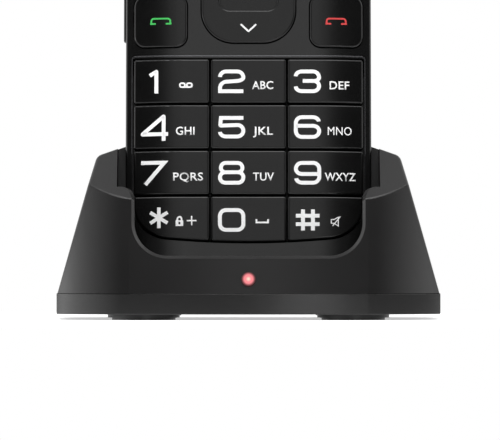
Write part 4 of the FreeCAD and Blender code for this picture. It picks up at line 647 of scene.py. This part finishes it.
def line_bar(line, width, height, stroke, low, high):
    """A bar of constant stroke along a line of corners, standing from low to high."""
    shape = bmesh.new()
    closed = line[-1] == "closed"
    corners = [corner for corner in line if corner != "closed"]
    wide, tall = width - stroke, height - stroke
    points = [shape.verts.new((x * wide - wide / 2, y * tall - tall / 2, low)) for x, y, _ in corners]
    for first, second in zip(points, points[1:] + points[:1] if closed else points[1:]):
        shape.edges.new((first, second))
    for point, (_, _, rounding) in zip(points, corners):
        if rounding:
            bmesh.ops.bevel(shape, geom=[point], offset=rounding * tall, offset_type="OFFSET",
                            affect="VERTICES", segments=TURN_SEGMENTS, profile=0.5, material=-1)
    bmesh.ops.remove_doubles(shape, verts=shape.verts, dist=stroke * STROKE_SAME)
    lift(shape, bmesh.ops.extrude_edge_only(shape, edges=shape.edges[:]), high - low)
    bar = new_piece("line_bar", mesh_of(shape, "line_bar"))
    wall = bar.modifiers.new("wall", "SOLIDIFY")
    wall.solidify_mode = "NON_MANIFOLD"
    wall.nonmanifold_thickness_mode = "EVEN"
    wall.thickness = stroke
    wall.offset = 0
    return settled(bar)


def mark_mesh(lines, width, height, stroke, span=None):
    """The bars of one mark as one solid on a flat face, in millimetres. A printed mark has no span."""
    low, high = span or (-SINK / MM, sizes().print_rise / MM)
    bars = [new_piece("bar", line_bar(line, width, height, stroke, low, high)) for line in lines]
    return combined(bars[0], bars[1:], "UNION")


CAPITAL = 0.682                # height of a capital letter of size 1
WIDENED = 0.014                # its outline is moved outwards by this
LETTER_SPACING = 1.04
LETTER_SAME = 1e-5             # corners of a letter closer than this are one


def letters_mesh(text, width):
    """Small letters of the set height and this width, drawn about their middle, in millimetres."""
    curve = bpy.data.curves.new("letters", "FONT")
    curve.body = text
    curve.size = 1.0
    widened = 0.0 if "M" in text else WIDENED      # an M would close up
    curve.offset = widened
    curve.space_character = LETTER_SPACING
    curve.align_x = "CENTER"
    curve.resolution_u = 3
    mesh = settled(new_piece("letters", curve))
    shape = bmesh.new()
    shape.from_mesh(mesh)
    bpy.data.meshes.remove(mesh)
    bmesh.ops.remove_doubles(shape, verts=shape.verts, dist=LETTER_SAME)
    acrosses = [vert.co.x for vert in shape.verts]
    tall = sizes().letter_height / MM / (CAPITAL + 2 * widened)
    wide = width / (max(acrosses) - min(acrosses))
    middle = Vector(((max(acrosses) + min(acrosses)) / 2, CAPITAL / 2, 0))
    bmesh.ops.translate(shape, verts=shape.verts, vec=-middle)
    bmesh.ops.scale(shape, verts=shape.verts, vec=(wide, tall, 1))
    made = bmesh.ops.extrude_face_region(shape, geom=shape.faces[:])
    bmesh.ops.translate(shape, verts=shape.verts, vec=(0, 0, -SINK / MM))
    lift(shape, made, (SINK + sizes().print_rise) / MM)
    return mesh_of(shape, "letters")


def dressed(name, mesh, node, finish_name):
    """A new piece with a finish, which rides on the body of a CAD piece."""
    thing = new_piece(name, mesh)
    coat(thing, finish_name)
    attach(thing, BODY_OF[node])
    return thing


def lay_on_keys(name, marks, across, height, node, ink="marking_ink", face=KEY_FACE):
    """Joins marks, each a mesh with its place in millimetres, and lays them on the crowned face."""
    shape = bmesh.new()
    for mesh, right, up in marks:
        place = Matrix.Translation((across + right * MM, height + up * MM, 0))
        mesh.transform(place @ Matrix.Scale(MM, 4))
        shape.from_mesh(mesh)
        bpy.data.meshes.remove(mesh)
    acrosses = [vert.co.x for vert in shape.verts]
    cut = math.floor(min(acrosses) / CROWN_STRIP) * CROWN_STRIP
    while cut < max(acrosses):
        if abs(cut) > CROWN_FLAT - CROWN_STRIP:
            bmesh.ops.bisect_plane(shape, geom=shape.verts[:] + shape.edges[:] + shape.faces[:],
                                   dist=SAME / 10, plane_co=(cut, 0, 0), plane_no=(1, 0, 0))
        cut += CROWN_STRIP
    for vert in shape.verts:
        x, y, rise = vert.co
        vert.co = phone_point(x, face - crown_fall(x) + rise, y)
    bmesh.ops.remove_doubles(shape, verts=shape.verts, dist=SAME)
    thing = dressed(name, mesh_of(shape, name), node, ink)
    return thing


# What is printed on the keys. All numbers are millimetres, and places count from a key's middle.
DIGIT_RIGHT = (-3.56, -3.56, -3.78)      # by column
DIGIT_UP = -0.1
LOW_DIGIT_UP = -0.37           # in the lowest row
LETTERS_UP = -0.93
LETTERS = {      # text, place to the right and width
    "key_2": ("ABC", 3.0, 4.5), "key_3": ("DEF", 3.0, 4.2), "key_4": ("GHI", 2.87, 3.97),
    "key_5": ("JKL", 3.06, 4.22), "key_6": ("MNO", 3.04, 5.06), "key_7": ("PQRS", 3.5, 6.33),
    "key_8": ("TUV", 3.16, 4.43), "key_9": ("WXYZ", 3.14, 6.54)}
LARGE_SYMBOLS = {      # symbol, width, height, places right and up, and its share of the large stroke
    "key_star": ("star", 4.9, 5.2, -2.66, 0.14, 0.92),
    "key_hash": ("hash", 5.8, 5.35, -3.76, LOW_DIGIT_UP, 1.0)}
SMALL_SYMBOLS = {      # symbol, width, height, places right and up, and its stroke if not the fine one
    "key_star": (("lock", 1.62, 2.15, 1.68, -0.6), ("plus", 2.35, 2.3, 4.26, -0.5, 0.29)),
    "key_0": (("space", 2.8, 1.05, 2.9, -0.56),),
    "key_hash": (("muted", 2.1, 2.1, 2.16, -0.6, 0.2),),
    "key_1": (("tape", 2.9, 1.2, 3.0, LETTERS_UP),)}
FUNCTION_MARKS = (     # key, symbol, ink, width, height and place up
    ("call_key", "handset", "green_ink", 4.4, 1.7, 0), ("end_key", "handset", "red_ink", 4.4, 1.7, 0),
    ("left_soft_key", "dash", "marking_ink", 3.4, 0.5, 0),
    ("right_soft_key", "dash", "marking_ink", 3.4, 0.5, 0),
    ("arrow_rocker", "up", "marking_ink", 3.6, 1.9, 7.0),
    ("arrow_rocker", "down", "marking_ink", 3.6, 1.9, -7.0))


def symbol(kind, width, height, stroke=None):
    return mark_mesh(SYMBOLS[kind], width, height, stroke or sizes().fine_stroke / MM)


class PHONE_OT_print_number_keys(bpy.types.Operator):
    """Prints the digits, letters and small symbols on the number keys"""
    bl_idname = "phone.print_number_keys"
    bl_label = "Print number keys"

    def execute(self, context):
        for row, nodes in enumerate(NUMBER_KEYS):
            for column, node in enumerate(nodes):
                marks = [self.large_mark(node, column), *self.small_marks(node)]
                lay_on_keys(f"marks_on_{node}", marks, KEY_SPAN * (column - 1),
                            KEYPAD_BOTTOM + KEY_PITCH * (row + 0.5), node)
        return {"FINISHED"}

    def large_mark(self, node, column):
        stroke = sizes().stroke / MM
        if node in LARGE_SYMBOLS:
            kind, width, height, right, up, share = LARGE_SYMBOLS[node]
            return symbol(kind, width, height, stroke * share), right, up
        up = LOW_DIGIT_UP if node == "key_0" else DIGIT_UP
        lines = DIGITS[node.split("_")[1]]
        mesh = mark_mesh(lines, sizes().digit_width / MM, sizes().digit_height / MM, stroke)
        return mesh, DIGIT_RIGHT[column], up

    def small_marks(self, node):
        for kind, width, height, right, up, *stroke in SMALL_SYMBOLS.get(node, ()):
            yield symbol(kind, width, height, *stroke), right, up
        if node in LETTERS:
            text, right, width = LETTERS[node]
            yield letters_mesh(text, width), right, LETTERS_UP


class PHONE_OT_print_function_keys(bpy.types.Operator):
    """Prints the marks on the keys above the number keys"""
    bl_idname = "phone.print_function_keys"
    bl_label = "Print function keys"

    def execute(self, context):
        for node, kind, ink, width, height, up in FUNCTION_MARKS:
            low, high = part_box(node)
            middle = (low + high) / 2
            along = (middle - HINGE).dot(UP) + HINGE_HEIGHT
            mark = (symbol(kind, width, height), 0, up)
            lay_on_keys(f"mark_{kind}_on_{node}", [mark], middle.x, along, node, ink)
        return {"FINISHED"}


# Fittings. Each lies on an outer face of a CAD piece and rides on its body. Their own sizes, and the
# spans between their lowest and highest place over that face, are millimetres.
ROUND_EDGE = 0.05 * MM
RING_PROFILE = ((4.25, -0.3), (4.25, 0.1), (4.36, 0.22), (4.6, 0.3), (4.9, 0.28), (5.06, 0.16), (5.1, -0.3))


def reach(node, direction):
    """Lowest and highest place of a CAD piece along a direction."""
    places = [vert.co.dot(direction) for vert in NODES[node].data.vertices]
    return min(places), max(places)


def face_middle(node, up, out):
    """Middle of the face that a CAD piece shows towards out."""
    right = up.cross(out)
    return right * sum(reach(node, right)) / 2 + up * sum(reach(node, up)) / 2 + out * reach(node, out)[1]


def facing(middle, up, out):
    """Turns millimetres on a flat drawing into places on a face."""
    turn = Matrix((up.cross(out), up, out)).transposed().to_4x4()
    return Matrix.Translation(middle) @ turn @ Matrix.Scale(MM, 4)


def fit(name, mesh, node, finish_name):
    """A fitting from a mesh that is in place, with softened edges."""
    soften(dressed(name, mesh, node, finish_name))


class PHONE_OT_fit_trims(bpy.types.Operator):
    """Fits the thin trims round the keypad, both windows and the camera"""
    bl_idname = "phone.fit_trims"
    bl_label = "Fit trims"

    def execute(self, context):
        self.keypad_trim(width=49.24, low=14.6, high=46.1, turn=0.6, stroke=0.25)
        self.window_trim("main_display_window", -LID_OUT)
        self.window_trim("outer_display_window", LID_OUT)
        self.camera_ring()
        return {"FINISHED"}

    def keypad_trim(self, width, low, high, turn, stroke):
        """Beside and above the number keys."""
        tall = high - low
        line = [(0, 0, 0), (0, 1, turn / tall), (1, 1, turn / tall), (1, 0, 0)]
        bar = mark_mesh([line], width + stroke, tall + stroke, stroke, span=(-0.1, 0.1))
        soften(lay_on_keys("keypad_trim", [(bar, 0, 0)], 0, (low + high) / 2 * MM, "base_front_cover",
                           "dark_chrome", FRAME_FACE))

    def window_trim(self, node, out, window_corner=2.0, gap=0.12, stroke=0.35):
        low, high = reach(node, LID_UP)
        left, right = reach(node, RIGHT)
        width, height = [size / MM + 2 * (gap + stroke) for size in (right - left, high - low)]
        turn = (window_corner + gap + stroke / 2) / (height - stroke)
        line = [(0, 0, turn), (1, 0, turn), (1, 1, turn), (0, 1, turn), "closed"]
        mesh = mark_mesh([line], width, height, stroke, span=(-0.3, 0.1))
        mesh.transform(facing(face_middle(node, LID_UP, out) + out * WINDOW_SINK, LID_UP, out))
        fit(f"trim_of_{node}", mesh, node, "dark_chrome")

    def camera_ring(self):
        shape = bmesh.new()
        points = [shape.verts.new((radius, 0, height)) for radius, height in RING_PROFILE]
        edges = [shape.edges.new(pair) for pair in zip(points, points[1:] + points[:1])]
        bmesh.ops.spin(shape, geom=points + edges, cent=(0, 0, 0), axis=(0, 0, 1), dvec=(0, 0, 0),
                       angle=math.tau, steps=72, use_merge=True)
        bmesh.ops.remove_doubles(shape, verts=shape.verts, dist=SAME / MM)
        mesh = mesh_of(shape, "camera_ring")
        middle = face_middle("camera_window", LID_UP, LID_OUT) + LID_OUT * WINDOW_SINK
        mesh.transform(facing(middle, LID_UP, LID_OUT))
        fit("camera_ring", mesh, "camera_window", "dark_chrome")


class PHONE_OT_fit_grips(bpy.types.Operator):
    """Fits the ribs of the battery cover's thumb rest and the wire mesh of the earpiece"""
    bl_idname = "phone.fit_grips"
    bl_label = "Fit ribs and mesh"

    def execute(self, context):
        self.thumb_ribs(depth=0.4, height=34.1, rib_length=8.8, spread=1.5, stroke=0.3)
        self.earpiece_mesh(width=10.0, height=1.4, corner=0.6, thickness=0.3, sunk=0.6)
        return {"FINISHED"}

    def thumb_ribs(self, depth, height, rib_length, spread, stroke):
        ribs = [[(0, up, 0), (1, up, 0)] for up in (0, 0.5, 1)]
        mesh = mark_mesh(ribs, rib_length, spread, stroke, span=(-0.05, 0.32))
        mesh.transform(facing(phone_point(0, depth * MM, height * MM), UP, BACK))
        fit("thumb_ribs", mesh, "battery_cover", "gloss_casing")

    def earpiece_mesh(self, width, height, corner, thickness, sunk):
        """Sunk counts from the lid's inner face."""
        shape = bmesh.new()
        signs = ((-1, -1), (1, -1), (1, 1), (-1, 1))
        corners = [shape.verts.new((x * width / 2, y * height / 2, 0)) for x, y in signs]
        shape.faces.new(corners)
        bmesh.ops.bevel(shape, geom=corners, offset=corner, offset_type="OFFSET", affect="VERTICES",
                        segments=6, profile=0.5, material=-1)
        lift(shape, bmesh.ops.extrude_face_region(shape, geom=shape.faces[:]), thickness)
        mesh = mesh_of(shape, "earpiece_mesh")
        inner_face = reach("main_display_window", -LID_OUT)[1] + WINDOW_SINK
        middle = face_middle("earpiece", LID_UP, -LID_OUT)
        middle -= LID_OUT * (inner_face - sunk * MM + middle.dot(LID_OUT))
        mesh.transform(facing(middle, LID_UP, -LID_OUT))
        fit("earpiece_mesh", mesh, "earpiece", "grille_mesh")


class PHONE_OT_cut_screw_heads(bpy.types.Operator):
    """Replaces the screws by ones with a cross recess in each head"""
    bl_idname = "phone.cut_screw_heads"
    bl_label = "Cut screw heads"

    def execute(self, context):
        self.cross_headed("base_screws", UP, BACK)
        self.cross_headed("lid_screws", LID_UP, -LID_OUT)
        self.cross_headed("dock_screws", BACK.cross(RIGHT), Vector((0, 0, -1)))
        return {"FINISHED"}

    def heads(self, shape, out, level_rim=0.01 * MM, apart=6 * MM):
        """Middle and radius of each head: its rim is furthest along out."""
        level = max(vert.co.dot(out) for vert in shape.verts)
        rim = [vert.co for vert in shape.verts if level - vert.co.dot(out) < level_rim]
        found = []
        while rim:
            near = [place for place in rim if (place - rim[0]).length < apart]
            middle = sum(near, Vector()) / len(near)
            found.append((middle, max((place - middle).length for place in near)))
            rim = [place for place in rim if place not in near]
        return found

    def cross_headed(self, node, up, out, length=1.2, stroke=0.26, depth=0.24):
        """The cross's sizes are shares of a head's radius."""
        up = (up - out * up.dot(out)).normalized()
        shape = bmesh.new()
        shape.from_mesh(NODES[node].data)
        bmesh.ops.remove_doubles(shape, verts=shape.verts, dist=SAME)
        heads = self.heads(shape, out)
        whole = new_piece(f"cross_{node}", mesh_of(shape, f"cross_{node}"))
        tools = []
        for middle, radius in heads:
            size = radius / MM
            cross = mark_mesh(SYMBOLS["plus"], length * size, length * size, stroke * size,
                              span=(-depth * size, 0.2))
            cross.transform(facing(middle, up, out))
            tools.append(new_piece("cross", cross))
        mesh = combined(whole, tools, "DIFFERENCE")
        screws = dressed(f"cross_{node}", mesh, node, "steel")
        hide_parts(node)


class PHONE_OT_wind_springs(bpy.types.Operator):
    """Replaces the plain springs under the charging pins by wound wire"""
    bl_idname = "phone.wind_springs"
    bl_label = "Wind springs"

    def execute(self, context):
        for side in ("left", "right"):
            self.spring(f"contact_spring_{side}", f"contact_pin_{side}_press")
        return {"FINISHED"}

    def spring(self, node, joint, wire=0.12, turns=3, steps=20, sides=8, pressed=0.2):
        """Wire is the wire's radius, and steps are those of one turn."""
        low, high = reach(node, UP)
        left, right = reach(node, RIGHT)
        tall = (high - low) / MM - 2 * wire
        radius = (right - left) / 2 / MM - wire
        shape = bmesh.new()
        bmesh.ops.create_circle(shape, segments=sides, radius=wire)
        bmesh.ops.rotate(shape, verts=shape.verts, cent=(0, 0, 0),
                         matrix=Matrix.Rotation(math.radians(90), 3, "X"))
        bmesh.ops.translate(shape, verts=shape.verts, vec=(radius, 0, wire))
        bmesh.ops.spin(shape, geom=shape.verts[:] + shape.edges[:], cent=(0, 0, 0), axis=(0, 0, 1),
                       dvec=(0, 0, tall / (turns * steps)), angle=turns * math.tau, steps=turns * steps)
        ends = [edge for edge in shape.edges if edge.is_boundary]
        bmesh.ops.holes_fill(shape, edges=ends, sides=sides)
        mesh = mesh_of(shape, f"wound_{node}")
        foot = face_middle(node, BACK, UP) - UP * (high - low)
        mesh.transform(facing(foot, BACK, UP))
        coil = dressed(f"wound_{node}", mesh, node, "steel")
        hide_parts(node)
        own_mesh(coil)


# The studio
KEYPAD_Y = -14 * MM            # plane at which the picture has its set width
STUDIO_MIDDLE = Vector((0, 0, 30 * MM))
WHITE = (1.0, 1.0, 1.0, 1.0)
TABLE_WHITE = (0.8, 0.8, 0.8, 1.0)
TABLE_GLOW = 0.5
TABLE_SHADED = (0.07, 0.16)    # metres from the phone over which the table turns plain white
MIDDLE_BOX_SHARE = 1.65        # of the top light
TABLE_HALF = 3.0
# The room: where each change starts and ends. The first two are bearings from the front, in degrees.
SIDES_GROW = (27, 98)
WHITE_GROWS = (104, 125)
CEILING_GROWS = (0.75, 0.95)
LOW_LEVEL_ENDS = (0.04, 0.22)
LEFT_GROWS, LEFT_GAIN = (0.1, 0.6), 1.8
RIGHT_FADES, RIGHT_LOSS = (0.2, 0.6), 0.85


def soft_box(name, bearing, rise, away, size, radiance):
    """A flat lamp that faces the phone; bearing counts right from the front, in degrees."""
    lamp = bpy.data.lights.new(name, "AREA")
    lamp.shape = "RECTANGLE"
    lamp.size, lamp.size_y = size
    lamp.energy = radiance * math.pi * size[0] * size[1]
    thing = new_piece(name, lamp)
    turn, tilt = math.radians(bearing), math.radians(rise)
    towards = Vector((math.cos(tilt) * math.sin(turn), -math.cos(tilt) * math.cos(turn), math.sin(tilt)))
    facing_back = (-towards).to_track_quat("-Z", "Y").to_matrix().to_4x4()
    thing.matrix_world = Matrix.Translation(STUDIO_MIDDLE + away * towards) @ facing_back
    thing.visible_camera = False


class PHONE_OT_set_stage(bpy.types.Operator):
    """Makes the table, the soft boxes, the world and the camera"""
    bl_idname = "phone.set_stage"
    bl_label = "Set stage"

    def execute(self, context):
        studio = context.scene.phone_studio
        self.table()
        self.lamps(studio)
        self.world(context, studio)
        self.camera(context, studio)
        context.scene.view_settings.view_transform = "Standard"
        return {"FINISHED"}

    def table(self):
        """White further out, and white with the phone's shadow close to it."""
        shape = bmesh.new()
        bmesh.ops.create_grid(shape, x_segments=1, y_segments=1, size=TABLE_HALF)
        table = new_piece("table", mesh_of(shape, "table"))
        paint = Paint("white_table")
        tree = paint.tree
        across, along, _ = paint.axes()
        away = (across * across + along * along) ** 0.5
        lit = paint.node("ShaderNodeBsdfDiffuse", None, TABLE_WHITE)
        glow = paint.node("ShaderNodeEmission", None, WHITE, TABLE_GLOW)
        white = paint.node("ShaderNodeEmission", None, WHITE, 1.0)
        near = paint.node("ShaderNodeAddShader", None, lit, glow)
        seen = paint.node("ShaderNodeMixShader", None, away.step(*TABLE_SHADED), near, white)
        camera, glossy, through = paint.rays()
        shown = paint.node("ShaderNodeMixShader", None, (camera + glossy + through).least(1.0), lit, seen)
        tree.links.new(shown.socket, paint.output.inputs["Surface"])
        tree.nodes.remove(paint.shader)
        table.data.materials.append(paint.material)

    def lamps(self, studio):
        soft_box("front_box", bearing=0, rise=26, away=1.2, size=(0.28, 0.5), radiance=studio.front_light)
        soft_box("middle_box", bearing=0, rise=54, away=1.1, size=(0.5, 0.5),
                 radiance=studio.top_light * MIDDLE_BOX_SHARE)
        soft_box("top_box", bearing=0, rise=66, away=1.0, size=(0.8, 0.5), radiance=studio.top_light)
        soft_box("low_box", bearing=9, rise=3.5, away=1.3, size=(0.2, 0.14), radiance=studio.low_light)

    def world(self, context, studio):
        """White behind; in front a dark room that grows light towards the sides and above."""
        world = bpy.data.worlds.new("white_studio")
        context.scene.world = world
        nodes = Nodes(world)
        output = nodes.tree.nodes.new("ShaderNodeOutputWorld")
        across, along, up = nodes.split(nodes.node("ShaderNodeTexCoord", output="Generated"))
        aside = nodes.node("ShaderNodeMath", {"operation": "ARCTAN2"}, abs(across), -along)
        start, end = map(math.radians, SIDES_GROW)
        sides = nodes.node("ShaderNodeMapRange", None, aside, start, end, studio.room, studio.side_light)
        level = 1.0 - up.step(*LOW_LEVEL_ENDS)
        leftward = LEFT_GAIN * (-across).step(*LEFT_GROWS) - RIGHT_LOSS * across.step(*RIGHT_FADES)
        sides = sides * (1.0 + level * leftward)
        behind = aside.step(*map(math.radians, WHITE_GROWS))
        above = up.step(*CEILING_GROWS)
        radiance = sides + behind * (1.0 - sides)
        radiance = radiance + above * (studio.over_light - radiance)
        lit = nodes.node("ShaderNodeBackground", None, WHITE, radiance)
        white = nodes.node("ShaderNodeBackground", None, WHITE, 1.0)
        camera, glossy, through = nodes.rays()
        seen = camera.most((glossy + through) * behind)
        shown = nodes.node("ShaderNodeMixShader", None, seen, lit, white)
        nodes.tree.links.new(shown.socket, output.inputs["Surface"])

    def camera(self, context, studio):
        """Level, and far enough for the picture to have its width at the keypad."""
        camera = bpy.data.cameras.new("camera")
        camera.lens = studio.lens
        away = camera.lens / camera.sensor_width * studio.view_width
        camera.clip_start, camera.clip_end = away / 10, away * 10
        thing = new_piece("camera", camera)
        thing.location = (studio.view_right, KEYPAD_Y - away, studio.view_height)
        thing.rotation_euler = (math.radians(90), 0, 0)
        context.scene.camera = thing


class PHONE_PT_sidebar(bpy.types.Panel):
    """The phone's pieces and settings"""
    bl_idname = "PHONE_PT_sidebar"
    bl_label = "Flip phone and dock"
    bl_space_type = "VIEW_3D"
    bl_region_type = "UI"
    bl_category = "Phone"

    def draw(self, context):
        for group in (sizes(), colours(), context.scene.phone_studio):
            box = self.layout.box()
            for name in group.__annotations__:
                box.prop(group, name)
        for operator in OPERATORS:
            self.layout.operator(operator.bl_idname)


OPERATORS = (PHONE_OT_coat_cad_pieces, PHONE_OT_print_number_keys, PHONE_OT_print_function_keys,
             PHONE_OT_fit_trims, PHONE_OT_fit_grips, PHONE_OT_cut_screw_heads, PHONE_OT_wind_springs,
             PHONE_OT_set_stage)
SETTINGS = {"phone_sizes": PhoneSizes, "phone_colours": PhoneColours, "phone_studio": StudioSettings}


def register():
    for part in (*SETTINGS.values(), *OPERATORS, PHONE_PT_sidebar):
        bpy.utils.register_class(part)
    for name, group in SETTINGS.items():
        setattr(bpy.types.Scene, name, PointerProperty(type=group))


def unregister():
    for name in SETTINGS:
        delattr(bpy.types.Scene, name)
    for part in (PHONE_PT_sidebar, *reversed(OPERATORS), *SETTINGS.values()):
        bpy.utils.unregister_class(part)


def main():
    register()
    bpy.ops.phone.coat_cad_pieces()
    bpy.ops.phone.print_number_keys()
    bpy.ops.phone.print_function_keys()
    bpy.ops.phone.fit_trims()
    bpy.ops.phone.fit_grips()
    bpy.ops.phone.cut_screw_heads()
    bpy.ops.phone.wind_springs()
    bpy.ops.phone.set_stage()


if __name__ == "__main__":
    main()
